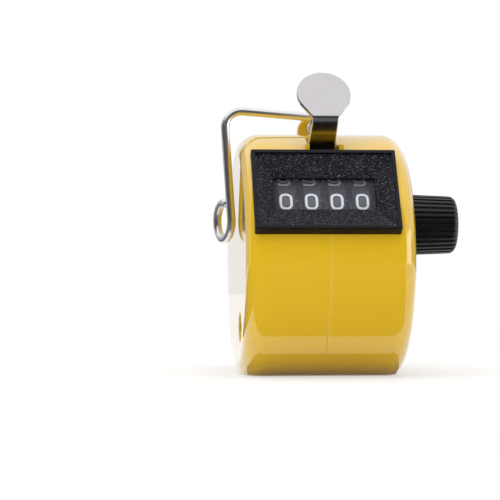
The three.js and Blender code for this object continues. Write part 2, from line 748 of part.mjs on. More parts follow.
// Where the lever meets the ratchet: the line of centres and the pawl's tip at rest
const leverToWheel = new THREE.Vector2(wheelAxisY - leverPivotY, wheelAxisZ - leverPivotZ);
const ratchetTurnPerTravel = 360 / ratchetTeeth / leverTravelAngle;
const pawlReach = leverToWheel.length() * ratchetTurnPerTravel / (1 + ratchetTurnPerTravel);
const pawlAngle = THREE.MathUtils.radToDeg(leverToWheel.angle()) - leverTravelAngle / 2;
const pawlTip = polar(pawlReach, pawlAngle);
const pawlOut = polar(1, pawlAngle + 180);
const pawlBack = polar(1, pawlAngle - 90);
const tipFromWheel = pawlTip.clone().sub(leverToWheel);
const ratchetFace = THREE.MathUtils.radToDeg(tipFromWheel.angle()) - pawlFaceGapAngle;
const ratchetLeftX = wheelCentres[0] + wheelRimWidth / 2 + seatGap;

function ratchet() {
  const turn = 360 / ratchetTeeth;
  const outline = Array.from({ length: ratchetTeeth }, (_, k) => [
    polar(ratchetTipRadius, ratchetFace + k * turn),
    polar(ratchetRootRadius, ratchetFace + k * turn),
  ]).flat();
  const bore = rod(wheelBore, -ratchetWidth, 2 * ratchetWidth);
  return plateX(outline, 0, ratchetWidth).subtract(bore);
}

function pawlPoint(out, back) {
  return pawlTip.clone().addScaledVector(pawlOut, out).addScaledVector(pawlBack, back);
}

const pawlPivot = pawlPoint(pawlNoseLength, pawlBodyLength);
const pawlLeftX = ratchetLeftX + (ratchetWidth - pawlWidth) / 2;
const pawlRightX = pawlLeftX + pawlWidth;
const armLeftX = frameRightInner - runningGap - leverArmThickness;
const armRightX = frameRightInner - runningGap;

// The pawl: an eye on its pin, a bar and a nose that reaches down to the ratchet's tooth
function feedPawl() {
  const outer = pawlNoseLength + pawlBodyHeight / 2;
  const inner = pawlNoseLength - pawlBodyHeight / 2;
  const nose = plateX([
    pawlPoint(0, 0), pawlPoint(outer, pawlFaceLeanShare * outer), pawlPoint(outer, pawlBodyLength),
    pawlPoint(inner, pawlBodyLength), pawlPoint(inner, pawlBodyHeight), pawlPoint(0, pawlNoseThickness),
  ], pawlLeftX, pawlRightX);
  const pivot = pawlPivot.toArray();
  const eye = rod(pawlEyeRadius, pawlLeftX, pawlRightX, pivot, bossFacets);
  const bore = rod(pawlPinRadius + runningGap / 2, pawlLeftX - cutOverrun, pawlRightX + cutOverrun, pivot);
  return joined(nose, eye).subtract(bore);
}

const leverPoint = (y, z) => new THREE.Vector2(y - leverPivotY, z - leverPivotZ);
const foldPoint = leverPoint(leverFoldY, leverFoldZ);

// The thumb disc in the plane that rises from the fold: straight flanks run from the strip's corners
// to the round as tangents
function leverDisc() {
  const neckHalf = leverWidth / 2;
  const outline = new THREE.Shape();
  const cornerReach = Math.hypot(neckHalf, leverDiscDistance);
  const flankAngle = Math.acos(leverDiscRadius / cornerReach) - Math.atan2(leverDiscDistance, neckHalf);
  outline.moveTo(neckHalf, 0);
  outline.absarc(0, leverDiscDistance, leverDiscRadius, flankAngle, Math.PI - flankAngle, false);
  outline.lineTo(-neckHalf, 0);
  const plate = new THREE.ExtrudeGeometry(outline,
    { depth: leverThickness, bevelEnabled: false, curveSegments: discFacets });
  plate.translate(0, 0, -leverThickness / 2).rotateX(radians(leverDiscAngle));
  return solid(plate.translate(leverCentreX, foldPoint.x, foldPoint.y));
}

const tailBlock = [
  [leverCentreX - leverTailWidth / 2, 0, -leverThickness / 2],
  [leverCentreX + leverTailWidth / 2, leverTailLength, leverThickness / 2],
];

function thumbLever() {
  const [left, right] = [leverCentreX - leverWidth / 2, leverCentreX + leverWidth / 2];
  const line = [foldPoint, leverPoint(leverSlotPointY, leverSlotPointZ), leverPoint(leverKneeY, leverKneeZ),
    new THREE.Vector2(0, 0)];
  const strip = plateX(stripOutline(line, leverThickness), left, right);
  const foldRoll = rod(leverThickness / 2, left, right, foldPoint.toArray());
  const hub = rod(leverHubRadius, frameLeftInner + runningGap, armRightX, [0, 0], bossFacets);
  const armOutline = hullOutline([[0, 0, leverHubRadius], [...pawlPivot.toArray(), pawlEyeRadius]]);
  const arm = plateX(armOutline, armLeftX, armRightX);
  const bore = rod(leverPinRadius + runningGap, -caseHalfWidth, caseHalfWidth);
  const pawlBore = rod(pawlPinRadius + seatGap, armLeftX - cutOverrun, armRightX + cutOverrun,
    pawlPivot.toArray());
  const tail = block(...tailBlock);
  return joined(leverDisc(), strip, foldRoll, hub, arm, tail).subtract(bore).subtract(pawlBore);
}

// A coil spring between the lever's tail and the upper pillar
function returnSpring() {
  const bottom = pillarUpperZ + pillarRadius + runningGap + springWire / 2;
  const top = leverPivotZ + tailBlock[0][2] - runningGap - springWire / 2;
  const points = [];
  const steps = springTurns * coilFacets;
  for (let k = 0; k <= steps; k += 1) {
    const angle = (k / coilFacets) * 2 * Math.PI;
    points.push(new THREE.Vector3(springRadius * Math.cos(angle), springRadius * Math.sin(angle),
      bottom + (top - bottom) * k / steps));
  }
  return wireAlong(new THREE.CatmullRomCurve3(points), springWire / 2, steps, coilWireFacets);
}

// One turn of thin wire round the pawl's pin, with a leg laid along the pawl
function pawlSpring() {
  const x = (pawlRightX + armLeftX) / 2;
  const steps = 2 * coilFacets;
  const points = Array.from({ length: steps + 1 }, (_, k) => {
    const angle = pawlAngle + pawlSpringStartAngle + k * pawlSpringTurnAngle / steps;
    const at = polar(pawlSpringRadius, angle, pawlPivot.toArray());
    return new THREE.Vector3(x, at.x, at.y);
  });
  const leg = points.at(-1).clone().sub(points.at(-2)).setLength(pawlSpringLeg);
  points.push(points.at(-1).clone().add(leg));
  return wireAlong(new THREE.CatmullRomCurve3(points), pawlSpringWire / 2, 3 * coilFacets, coilWireFacets);
}

// A flat leaf from the upper pillar's eye to just outside the ratchet's tooth tips
function backstop() {
  const under = wheelAxisZ - ratchetTipRadius - runningGap - backstopThickness;
  const collar = rod(pillarRadius + seatGap + 2 * backstopThickness, 0, backstopWidth, upperPillar);
  const leaf = block([0, wheelAxisY, under], [backstopWidth, pillarUpperY, under + backstopThickness]);
  const foot = block([0, pillarUpperY - backstopFootLength, under],
    [backstopWidth, pillarUpperY, under + 2 * backstopThickness]);
  const bore = rod(pillarRadius + seatGap, -cutOverrun, backstopWidth + cutOverrun, upperPillar);
  return joined(collar, leaf, foot).subtract(bore);
}

function leverTrain() {
  const pivotFrame = new THREE.Group();
  pivotFrame.position.set(0, leverPivotY, leverPivotZ);
  counter.add(pivotFrame);
  place('thumb_lever', thumbLever(), steel(), pivotFrame);
  place('feed_pawl', feedPawl(), brass(), pivotFrame);
  const pinLeft = pawlLeftX - seatGap;
  const pin = rod(pawlPinRadius, pinLeft, armRightX - seatGap, pawlPivot.toArray());
  place('pawl_pin', pin, steel(), pivotFrame);
  place('pawl_spring', pawlSpring(), steel(), pivotFrame);
  place('ratchet_wheel', ratchet(), brass(), counter, [ratchetLeftX, ...wheelAxis]);
  place('return_spring', returnSpring(), steel(), counter, [leverCentreX, pillarUpperY, 0]);
  place('backstop_spring', backstop(), brass(), counter, [ratchetLeftX, 0, 0]);
}

const knobBaseX = caseHalfWidth + knobStandOff;

// Ribbed knob, tapered and rounded off at its outer end
function resetKnob() {
  const ribs = toothedOutline(knobRibs, knobRadius - knobRibHeight, knobRadius,
    knobRibRootHalfShare, knobRibTipHalfShare, 0);
  const body = plateX(ribs, 0, knobLength);
  const end = Array.from({ length: filletFacets + 1 }, (_, k) => {
    const angle = (k / filletFacets) * Math.PI / 2;
    return [knobLength - knobEndRound * (1 - Math.sin(angle)),
      knobTipRadius - knobEndRound * (1 - Math.cos(angle))];
  });
  const envelope = turned([[0, 0], [0, knobRadius], ...end, [knobLength, 0]], wheelFacets);
  const bore = rod(wheelShaftRadius + seatGap, -cutOverrun, knobShaftDepth);
  return body.intersect(envelope).subtract(bore);
}

const clipX = frameLeftOuter - runningGap - clipThickness;
const shaftLeftX = clipX - clipThickness;

function wheelShaft() {
  const body = rod(wheelShaftRadius, shaftLeftX, knobBaseX + knobShaftDepth - seatGap);
  const neck = wheelShaftRadius - shaftGrooveDepth;
  const groove = tubeX(wheelShaftRadius + cutOverrun, neck, clipX - seatGap, clipX + clipThickness + seatGap,
    [0, 0], pinFacets);
  return body.subtract(groove);
}

// A split washer snapped into the shaft's groove
function shaftClip() {
  const inner = wheelShaftRadius - shaftGrooveDepth + seatGap;
  const ring = tubeX(clipRadius, inner, 0, clipThickness, [0, 0], bossFacets);
  const mouth = plateX([polar(0, 0), polar(2 * clipRadius, -90 - clipMouthHalfAngle),
    polar(2 * clipRadius, -90 + clipMouthHalfAngle)], -cutOverrun, clipThickness + cutOverrun);
  return ring.subtract(mouth);
}

function knobBush() {
  const flangeX = caseInnerX - seatGap - bushFlangeThickness;
  const sleeve = rod(bushRadius, flangeX, caseHalfWidth, [0, 0], bossFacets);
  const flange = rod(bushRadius + bushFlangeWidth, flangeX, flangeX + bushFlangeThickness,
    [0, 0], bossFacets);
  return sleeve.add(flange).subtract(rod(wheelBore, flangeX - cutOverrun, caseHalfWidth + cutOverrun));
}

function resetPieces() {
  place('wheel_shaft', wheelShaft(), steel(), counter, [0, ...wheelAxis]);
  place('shaft_clip', shaftClip(), steel(), counter, [clipX, ...wheelAxis]);
  place('knob_bush', knobBush(), brass(), counter, [0, ...wheelAxis]);
  place('reset_knob', resetKnob(), black(), counter, [knobBaseX, ...wheelAxis]);
}

// The bail: through the lug, up and over to the left, round the corner and down to a closed eye
function bail() {
  const vector = (x, y, z) => new THREE.Vector3(x, y, z);
  const tailY = lugY + lugThickness / 2 + bailTailLength;
  const path = roundedPath([
    { at: vector(caseSeamX, tailY, bailHoleZ) },
    { at: vector(caseSeamX, bailFrontY, bailHoleZ), round: bailBendRadius / 2 },
    { at: vector(caseSeamX, bailFrontY, bailRunStartZ), round: bailBendRadius / 2 },
    { at: vector(bailLegTopX, bailFrontY, bailRunEndZ), round: bailCornerRadius },
    { at: vector(bailLegBottomX, bailLegBottomY, eyeCentreZ) },
  ]);
  const sideways = vector(-Math.sin(radians(eyeFlareAngle)), Math.cos(radians(eyeFlareAngle)), 0);
  const centre = vector(bailLegBottomX, bailLegBottomY, eyeCentreZ).addScaledVector(sideways, eyeRadius);
  const turn = 180 + eyeEndAngle;
  const ring = Array.from({ length: eyeFacets + 1 }, (_, k) => {
    const angle = radians(180 + turn * k / eyeFacets);
    return centre.clone().addScaledVector(sideways, eyeRadius * Math.cos(angle))
      .add(vector(0, 0, eyeRadius * Math.sin(angle)));
  });
  path.add(new THREE.CatmullRomCurve3(ring));
  return wireAlong(path, bailWireRadius, bailSteps);
}

caseShells();
bezelPieces();
framePieces();
caseScrews();
wheelTrain();
leverTrain();
resetPieces();
place('finger_bail', bail(), steel());

export default counter;
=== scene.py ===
"""Hand tally counter: the finished look of every piece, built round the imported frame.

Lengths are millimetres and angles are degrees while a shape is made. A finished piece is scaled to
metres, which is the frame's own unit.
"""

import json
import logging
import math
from dataclasses import dataclass
from enum import Enum
from typing import Any, Callable, Iterable, Optional, Sequence

import bmesh
import bpy
from mathutils import Matrix, Vector


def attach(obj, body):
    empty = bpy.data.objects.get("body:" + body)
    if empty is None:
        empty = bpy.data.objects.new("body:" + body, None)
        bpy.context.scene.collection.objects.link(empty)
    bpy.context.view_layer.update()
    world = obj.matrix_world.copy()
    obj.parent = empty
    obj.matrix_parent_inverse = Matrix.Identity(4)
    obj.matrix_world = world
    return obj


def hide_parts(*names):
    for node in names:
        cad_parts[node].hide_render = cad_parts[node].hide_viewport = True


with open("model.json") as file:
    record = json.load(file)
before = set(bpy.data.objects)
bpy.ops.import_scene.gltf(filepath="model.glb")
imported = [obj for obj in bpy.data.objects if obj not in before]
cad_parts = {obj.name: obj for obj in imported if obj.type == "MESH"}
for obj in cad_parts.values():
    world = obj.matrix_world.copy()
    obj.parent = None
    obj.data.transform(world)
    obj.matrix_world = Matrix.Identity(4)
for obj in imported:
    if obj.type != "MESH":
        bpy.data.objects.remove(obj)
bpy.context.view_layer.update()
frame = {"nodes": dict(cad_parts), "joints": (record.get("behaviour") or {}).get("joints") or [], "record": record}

LOG = logging.getLogger("tally_counter")

MM = 0.001
# How near two points count as one, and how far a cutter passes what it cuts
WELD = 1e-4
OVERRUN = 1.0
WHITE = "#FFFFFF"

Point = tuple[float, float]
Mesh = bmesh.types.BMesh
Piece = bpy.types.Object


class Side(Enum):
    """The side of the case's seam that a shell lies on."""

    LEFT = -1
    RIGHT = 1


class Cut(Enum):
    """How one closed body changes another."""

    REMOVE = "DIFFERENCE"
    ADD = "UNION"


def polar(radius: float, degrees: float, centre: Point = (0.0, 0.0)) -> Point:
    """Gives the point at a radius and an angle round a centre."""
    angle = math.radians(degrees)
    return (centre[0] + radius * math.cos(angle), centre[1] + radius * math.sin(angle))


def arc(radius: float, start: float, end: float, centre: Point, steps: int) -> list[Point]:
    """Gives the points of an arc between two angles, both ends included, for a number of chords."""
    return [polar(radius, start + (end - start) * k / steps, centre) for k in range(steps + 1)]


def mirrored(profile: Sequence[Point]) -> list[Point]:
    """Gives a profile's points on the other side of the origin, in reverse order."""
    return [(-x, r) for x, r in reversed(profile)]


def grown(size: Point, by: float) -> Point:
    """Gives a rectangle's size, wider and higher by an amount."""
    return (size[0] + by, size[1] + by)


def linear(code: str) -> tuple[float, float, float, float]:
    """Turns an sRGB hex colour into linear light.

    Args:
        code: The colour as #RRGGBB.

    Returns:
        Linear red, green and blue, and an alpha of 1.
    """
    channels = [int(code[k:k + 2], 16) / 255 for k in (1, 3, 5)]
    light = [c / 12.92 if c <= 0.04045 else ((c + 0.055) / 1.055) ** 2.4 for c in channels]
    return (light[0], light[1], light[2], 1.0)


def add_node(
    tree: bpy.types.NodeTree,
    kind: str,
    values: Optional[dict[str | int, Any]] = None,
    links: Optional[dict[str | int, bpy.types.NodeSocket]] = None,
    **settings: Any,
) -> bpy.types.Node:
    """Adds a shader node, sets its sockets and settings, and wires its inputs.

    Args:
        tree: The node tree that takes the node.
        kind: The node's type.
        values: Input names and the values they get.
        links: Input names and the output sockets they read.
        **settings: The node's own properties.

    Returns:
        The new node.
    """
    node = tree.nodes.new(kind)
    for name, value in settings.items():
        setattr(node, name, value)
    for name, value in (values or {}).items():
        node.inputs[name].default_value = value
    for name, socket in (links or {}).items():
        tree.links.new(socket, node.inputs[name])
    return node


def emptied(owner: bpy.types.Material | bpy.types.World) -> bpy.types.NodeTree:
    """Switches an owner's nodes on and gives its tree without any.

    Args:
        owner: The material or world.

    Returns:
        The empty node tree.
    """
    owner.use_nodes = True
    owner.node_tree.nodes.clear()
    return owner.node_tree


def pattern_scale(size: float) -> float:
    """Gives a texture's scale for a pattern whose grains are this many millimetres across."""
    return 1 / (size * MM)


@dataclass(frozen=True)
class Finish:
    """A surface finish with a slow change of tone, an uneven gloss and a fine relief.

    tone_size, gloss_size and relief_size are the sizes of those patterns. gloss_span is the part of
    its noise over which the gloss changes, and relief_height is how far the relief stands up.
    """

    name: str
    slot: str
    colour: str
    tone: str
    roughness: float
    rougher: float
    metallic: float = 0.0
    ior: float = 1.5
    coat: float = 0.0
    coat_roughness: float = 0.03
    alpha: float = 1.0
    tone_size: float = 12.0
    gloss_size: float = 4.0
    relief_size: float = 1.0
    relief_height: float = 0.002
    relief_strength: float = 0.3
    relief_detail: float = 2.0
    tone_detail: float = 3.0
    gloss_detail: float = 2.0
    gloss_span: Point = (0.3, 0.7)
    stretch: tuple[float, float, float] = (1.0, 1.0, 1.0)

    def material(self) -> bpy.types.Material:
        """Gives the finish as a material, made once.

        Returns:
            The material that carries this finish's name.
        """
        ready = bpy.data.materials.get(self.name)
        if ready:
            return ready
        material = bpy.data.materials.new(self.name)
        tree = emptied(material)
        place = add_node(tree, "ShaderNodeTexCoord").outputs["Object"]
        grain = add_node(tree, "ShaderNodeMapping", {"Scale": self.stretch}, {"Vector": place})
        shader = add_node(
            tree, "ShaderNodeBsdfPrincipled",
            {"Metallic": self.metallic, "IOR": self.ior, "Coat Weight": self.coat,
             "Coat Roughness": self.coat_roughness, "Alpha": self.alpha},
            {"Base Color": self.tones(tree, place), "Roughness": self.gloss(tree, place),
             "Normal": self.relief(tree, grain.outputs["Vector"])})
        add_node(tree, "ShaderNodeOutputMaterial", links={"Surface": shader.outputs["BSDF"]})
        return material

    def tones(self, tree: bpy.types.NodeTree, place: bpy.types.NodeSocket) -> bpy.types.NodeSocket:
        """Mixes the finish's two tones in soft patches.

        Args:
            tree: The material's node tree.
            place: The Object coordinates.

        Returns:
            The colour.
        """
        cloud = add_node(tree, "ShaderNodeTexNoise",
                         {"Scale": pattern_scale(self.tone_size), "Detail": self.tone_detail},
                         {"Vector": place})
        mix = add_node(tree, "ShaderNodeMix", {6: linear(self.colour), 7: linear(self.tone)},
                       {0: cloud.outputs["Fac"]}, data_type="RGBA")
        return mix.outputs[2]

    def gloss(self, tree: bpy.types.NodeTree, place: bpy.types.NodeSocket) -> bpy.types.NodeSocket:
        """Varies the roughness, as handling does.

        Args:
            tree: The material's node tree.
            place: The Object coordinates.

        Returns:
            The roughness.
        """
        cloud = add_node(tree, "ShaderNodeTexNoise",
                         {"Scale": pattern_scale(self.gloss_size), "Detail": self.gloss_detail},
                         {"Vector": place})
        spread = add_node(tree, "ShaderNodeMapRange",
                          {"From Min": self.gloss_span[0], "From Max": self.gloss_span[1],
                           "To Min": self.roughness, "To Max": self.rougher},
                          {"Value": cloud.outputs["Fac"]})
        return spread.outputs["Result"]

    def relief(self, tree: bpy.types.NodeTree, place: bpy.types.NodeSocket) -> bpy.types.NodeSocket:
        """Raises the fine grain of the surface.

        Args:
            tree: The material's node tree.
            place: The coordinates of the grain.

        Returns:
            The bent normal.
        """
        height = add_node(tree, "ShaderNodeTexNoise",
                          {"Scale": pattern_scale(self.relief_size), "Detail": self.relief_detail},
                          {"Vector": place})
        bump = add_node(tree, "ShaderNodeBump",
                        {"Strength": self.relief_strength, "Distance": self.relief_height * MM},
                        {"Height": height.outputs["Fac"]})
        return bump.outputs["Normal"]


@dataclass(frozen=True)
class GrainWithPaintedGlintsFinish(Finish):
    """A finish whose grain carries painted glints: light specks that stand in for highlights."""

    # tip and the three fields after it give the painted glints: light specks that stand in for highlights
    tip: str = "#A09EAC"
    painted_glint_size: float = 0.2
    painted_glint_detail: float = 1.0
    painted_glint_span: Point = (0.61, 0.80)

    def tones(self, tree: bpy.types.NodeTree, place: bpy.types.NodeSocket) -> bpy.types.NodeSocket:
        """Strews painted glints, light specks that stand in for highlights, over the two tones.

        Args:
            tree: The material's node tree.
            place: The Object coordinates.

        Returns:
            The colour.
        """
        ground = super().tones(tree, place)
        grain = add_node(tree, "ShaderNodeTexNoise",
                         {"Scale": pattern_scale(self.painted_glint_size), "Detail": self.painted_glint_detail},
                         {"Vector": place})
        # Painted glints: where the fine noise runs high, the colour turns to the light glint colour
        painted_glints = add_node(tree, "ShaderNodeMapRange",
                        {"From Min": self.painted_glint_span[0], "From Max": self.painted_glint_span[1]},
                        {"Value": grain.outputs["Fac"]})
        mix = add_node(tree, "ShaderNodeMix", {7: linear(self.tip)},
                       {0: painted_glints.outputs["Result"], 6: ground}, data_type="RGBA")
        return mix.outputs[2]


# Polished ABS, injection moulded: a deep gloss with a faint orange peel
CASE_ABS = Finish("polished_abs_yellow", "case_yellow", "#D8B01D", "#D5AC1B", 0.05, 0.08, coat=1.0,
                  tone_size=30.0, gloss_size=9.0, relief_size=3.5, relief_strength=0.2)
# The same ABS, painted lighter along the seam's rounded lip as a highlight
SEAM_HIGHLIGHT_ABS = Finish("seam_highlight_abs_yellow", "case_yellow", "#ECC850", "#E8C24A", 0.2, 0.3,
                  tone_size=6.0)
# ABS from a spark-eroded mould: a sandy grain, with glints painted on it as light specks
BEZEL_ABS = GrainWithPaintedGlintsFinish("spark_grained_abs_black_painted_glints", "bezel_black", "#030208", "#0A0911", 0.42, 0.54,
                        ior=1.34, tone_size=1.0, gloss_size=0.8, relief_size=0.45,
                        relief_height=0.25, relief_strength=0.9)
# The same ABS where the mould was polished: the bezel's rim and walls
RIM_ABS = Finish("smooth_abs_black", "bezel_black", "#050408", "#08070C", 0.30, 0.38,
                 ior=1.38, tone_size=2.0, gloss_size=1.5, relief_size=0.3, relief_height=0.01)
# Clear polystyrene, moulded: its faint grey veil is painted in its colour as a reflection, with fine haze
PANE_PS = Finish("clear_polystyrene", "clear_pane", "#7C7E8A", "#868894", 0.05, 0.10, alpha=0.10,
                 ior=1.59, gloss_size=2.0, relief_size=3.0)
# Bright zinc plating on pressed steel: soft cloudy shine
ZINC = Finish("bright_zinc_plate", "zinc_steel", "#B9BBBF", "#A9ACB2", 0.22, 0.34, metallic=1.0,
              tone_size=3.0, gloss_size=1.5, relief_size=0.6, relief_height=0.004)
# The same plate on the screws: a warmer and duller grey
SCREW_ZINC = Finish("zinc_plated_screw_steel", "screw_steel", "#A9A7A6", "#94918F", 0.24, 0.38,
                    metallic=1.0, tone_size=1.0, gloss_size=0.6, relief_size=0.3,
                    relief_height=0.006)
# Moulded wheel plastic: dark grey, half matt
WHEEL_ABS = Finish("moulded_abs_dark_grey", "wheel_grey", "#3A3840", "#3F3D45", 0.42, 0.52,
                   tone_size=2.0, gloss_size=1.5, relief_size=0.35, relief_height=0.012)
# The same plastic on the gears: painted a lighter grey to offset the shade in the gaps between the wheels
GEAR_ABS = Finish("moulded_abs_grey_painted_lighter", "wheel_grey", "#6A6972", "#65646D", 0.42, 0.52,
                  tone_size=2.0, gloss_size=1.5, relief_size=0.35, relief_height=0.012)
# Pad-printed ink: a flat white, nearly matt
NUMERAL_INK = Finish("white_pad_print_ink", "wheel_grey", "#F6F8FC", "#E8ECF2", 0.45, 0.55,
                     tone_size=0.8, gloss_size=0.8, relief_size=0.25, relief_height=0.012)
# The thin ink inside closed loops: the wheel shows through it as a mid grey
COUNTER_INK = Finish("grey_pad_print_ink", "wheel_grey", "#54565C", "#5C5E64", 0.5, 0.6,
                     tone_size=0.6, gloss_size=0.6, relief_size=0.2, relief_height=0.01)
# Natural acetal: waxy cream
ACETAL = Finish("natural_acetal", "gear_cream", "#C4BEAB", "#BBB5A2", 0.35, 0.45, tone_size=1.5,
                gloss_size=1.0, relief_size=0.3, relief_height=0.006)
# Nickel plate on pressed steel: bright, and slightly hazed by its polishing lines
LEVER_CHROME = Finish("polished_nickel_plate", "lever_chrome", "#D6D3D6", "#CFCBCE", 0.18, 0.23,
                      metallic=1.0, tone_size=4.0, gloss_size=2.0, relief_size=0.8,
                      stretch=(6.0, 1.0, 1.0))
# The thumb disc: the same plate over a linished face
DISC_SATIN = Finish("satin_nickel_plate", "lever_chrome", "#D2CDD1", "#CAC5C9", 0.30, 0.40,
                    metallic=1.0, tone_size=1.6, gloss_size=0.8, relief_size=0.5,
                    relief_height=0.012, stretch=(5.0, 1.0, 1.0))
# Stamped brass: a warm satin yellow
BRASS = Finish("stamped_brass", "brass_parts", "#C9A44F", "#BC9743", 0.24, 0.36, metallic=1.0,
               tone_size=2.0, gloss_size=1.0, relief_size=0.4, relief_height=0.005)
# Drawn spring wire: a bright grey with a fine grain
SPRING_WIRE = Finish("bright_spring_wire", "spring_steel", "#9A9CA0", "#8C8E92", 0.2, 0.3,
                     metallic=1.0, tone_size=1.0, gloss_size=0.8, relief_size=0.3,
                     relief_height=0.004)
# Moulded knob plastic: black with a soft sheen on the rib tops
KNOB_ABS = Finish("moulded_abs_black", "knob_black", "#0A0A0B", "#101011", 0.22, 0.30,
                  tone_size=1.5, gloss_size=1.2, relief_size=0.25, relief_height=0.01)
# Chromed wire, tumbled before plating: a broad soft shine
BAIL_CHROME = Finish("bright_chromed_wire", "bail_chrome", "#F4F4F6", "#EEEEF0", 0.28, 0.33,
                     metallic=1.0, tone_size=3.0, gloss_size=1.5, relief_size=1.2)

NODE_FINISHES = {finish.slot: finish for finish in (
    CASE_ABS, BEZEL_ABS, PANE_PS, ZINC, SCREW_ZINC, WHEEL_ABS, ACETAL, LEVER_CHROME, BRASS,
    SPRING_WIRE, KNOB_ABS, BAIL_CHROME)}


def shifted(bm: Mesh, by: Sequence[float]) -> Mesh:
    """Moves a shape and gives it back."""
    bmesh.ops.translate(bm, vec=Vector(by), verts=bm.verts)
    return bm


def turned(bm: Mesh, matrix: Matrix) -> Mesh:
    """Transforms a shape and gives it back."""
    bmesh.ops.transform(bm, matrix=matrix, verts=bm.verts)
    return bm


def spun(profile: Sequence[Point], steps: int, closed: bool = False) -> Mesh:
    """Turns a profile about the X axis into a closed body.

    Args:
        profile: Points as (x, radius). An open one starts and ends on the axis.
        steps: The number of steps in the full turn.
        closed: Whether the last point joins the first, as for a ring.

    Returns:
        The body, with its faces pointing out.
    """
    bm = bmesh.new()
    verts = [bm.verts.new((x, 0.0, r)) for x, r in profile]
    ends = verts[1:] + verts[:1] if closed else verts[1:]
    edges = [bm.edges.new(pair) for pair in zip(verts, ends)]
    bmesh.ops.spin(bm, geom=verts + edges, cent=(0, 0, 0), axis=(1, 0, 0), angle=math.tau,
                   steps=steps, use_merge=True, use_normal_flip=False, use_duplicate=False)
    bmesh.ops.remove_doubles(bm, verts=bm.verts, dist=WELD)
    bmesh.ops.recalc_face_normals(bm, faces=bm.faces)
    return bm


def bar(radius: float, x0: float, x1: float, centre: Point = (0.0, 0.0), steps: int = 48) -> Mesh:
    """Makes a plain round bar along X about a centre given as (y, z)."""
    return shifted(spun([(x0, 0), (x0, radius), (x1, radius), (x1, 0)], steps), (0, *centre))


def block(low: Sequence[float], high: Sequence[float]) -> Mesh:
    """Makes a box from its two opposite corners.

    Args:
        low: The lowest corner.
        high: The highest corner.

    Returns:
        The box.
    """
    bm = bmesh.new()
    bmesh.ops.create_cube(bm, size=1.0)
    size = Vector(high) - Vector(low)
    bmesh.ops.scale(bm, vec=size, verts=bm.verts)
    return shifted(bm, Vector(low) + size / 2)


def thickened(bm: Mesh, faces: Sequence[bmesh.types.BMFace], by: Sequence[float]) -> Mesh:
    """Makes flat faces into a closed body.

    Args:
        bm: The shape that holds the faces.
        faces: The flat faces.
        by: How far they are extruded.

    Returns:
        The shape, with its faces pointing out.
    """
    walls = bmesh.ops.extrude_face_region(bm, geom=faces, use_keep_orig=True)
    moved = [item for item in walls["geom"] if isinstance(item, bmesh.types.BMVert)]
    bmesh.ops.translate(bm, vec=by, verts=moved)
    bmesh.ops.recalc_face_normals(bm, faces=bm.faces)
    return bm


def skinned(sections: Iterable[Iterable[Sequence[float]]], closed: bool = False) -> Mesh:
    """Bridges a row of closed sections into a closed body.

    Args:
        sections: The points of each section.
        closed: Whether the last section joins the first. Otherwise both ends get a cap.

    Returns:
        The body, with its faces pointing out.
    """
    bm = bmesh.new()
    rings = []
    for points in sections:
        verts = [bm.verts.new(point) for point in points]
        rings.append([bm.edges.new(pair) for pair in zip(verts, verts[1:] + verts[:1])])
    for near, far in zip(rings, rings[1:] + rings[:1] if closed else rings[1:]):
        bmesh.ops.bridge_loops(bm, edges=near + far)
    return capped(bm)


def capped(bm: Mesh) -> Mesh:
    """Closes the open ends of a shape and turns its faces out.

    Args:
        bm: The shape.

    Returns:
        The shape.
    """
    bmesh.ops.holes_fill(bm, edges=[edge for edge in bm.edges if edge.is_boundary], sides=0)
    bmesh.ops.recalc_face_normals(bm, faces=bm.faces)
    return bm


def plate(outline: Sequence[Point], x0: float, x1: float) -> Mesh:
    """Extrudes an outline of (y, z) points along X.

    Args:
        outline: The corners in order.
        x0: The first face's place.
        x1: The second face's place.

    Returns:
        The closed plate.
    """
    bm = bmesh.new()
    face = bm.faces.new([bm.verts.new((x0, y, z)) for y, z in outline])
    return thickened(bm, [face], (x1 - x0, 0, 0))


def rounded(bm: Mesh, edges: Iterable[bmesh.types.BMEdge], radius: float, segments: int = 3) -> Mesh:
    """Rounds some edges of a shape.

    Args:
        bm: The shape.
        edges: The edges to round.
        radius: The width of the rounding.
        segments: Its number of steps.

    Returns:
        The shape.
    """
    bmesh.ops.bevel(bm, geom=list(edges), offset=radius, offset_type="OFFSET", segments=segments,
                    profile=0.5, affect="EDGES", clamp_overlap=True, material=-1)
    return bm


def folded_edges(bm: Mesh, above: float) -> list[bmesh.types.BMEdge]:
    """Lists the edges whose faces meet at more than an angle."""
    limit = math.radians(above)
    return [edge for edge in bm.edges if edge.is_manifold and edge.calc_face_angle() > limit]


def sliced(bm: Mesh, axis: int, low: float, high: float, pitch: float) -> Mesh:
    """Cuts a shape across at even steps, so that it can be bent.

    Args:
        bm: The shape.
        axis: 0, 1 or 2 for X, Y or Z.
        low: The first cut's place.
        high: Where the cuts end.
        pitch: The distance between cuts.

    Returns:
        The shape.
    """
    normal = Vector((0, 0, 0))
    normal[axis] = 1
    for k in range(int((high - low) / pitch) + 1):
        bmesh.ops.bisect_plane(bm, geom=bm.verts[:] + bm.edges[:] + bm.faces[:], dist=WELD,
                               plane_co=normal * (low + k * pitch), plane_no=normal)
    return bm


def kept_side(bm: Mesh, place: Sequence[float], normal: Sequence[float]) -> Mesh:
    """Cuts a closed body by a plane, keeps the part behind its normal and closes it.

    Args:
        bm: The body.
        place: A point of the plane.
        normal: The plane's normal, towards what goes.

    Returns:
        The closed part.
    """
    bmesh.ops.bisect_plane(bm, geom=bm.verts[:] + bm.edges[:] + bm.faces[:], dist=WELD,
                           plane_co=place, plane_no=normal, clear_outer=True)
    return capped(bm)


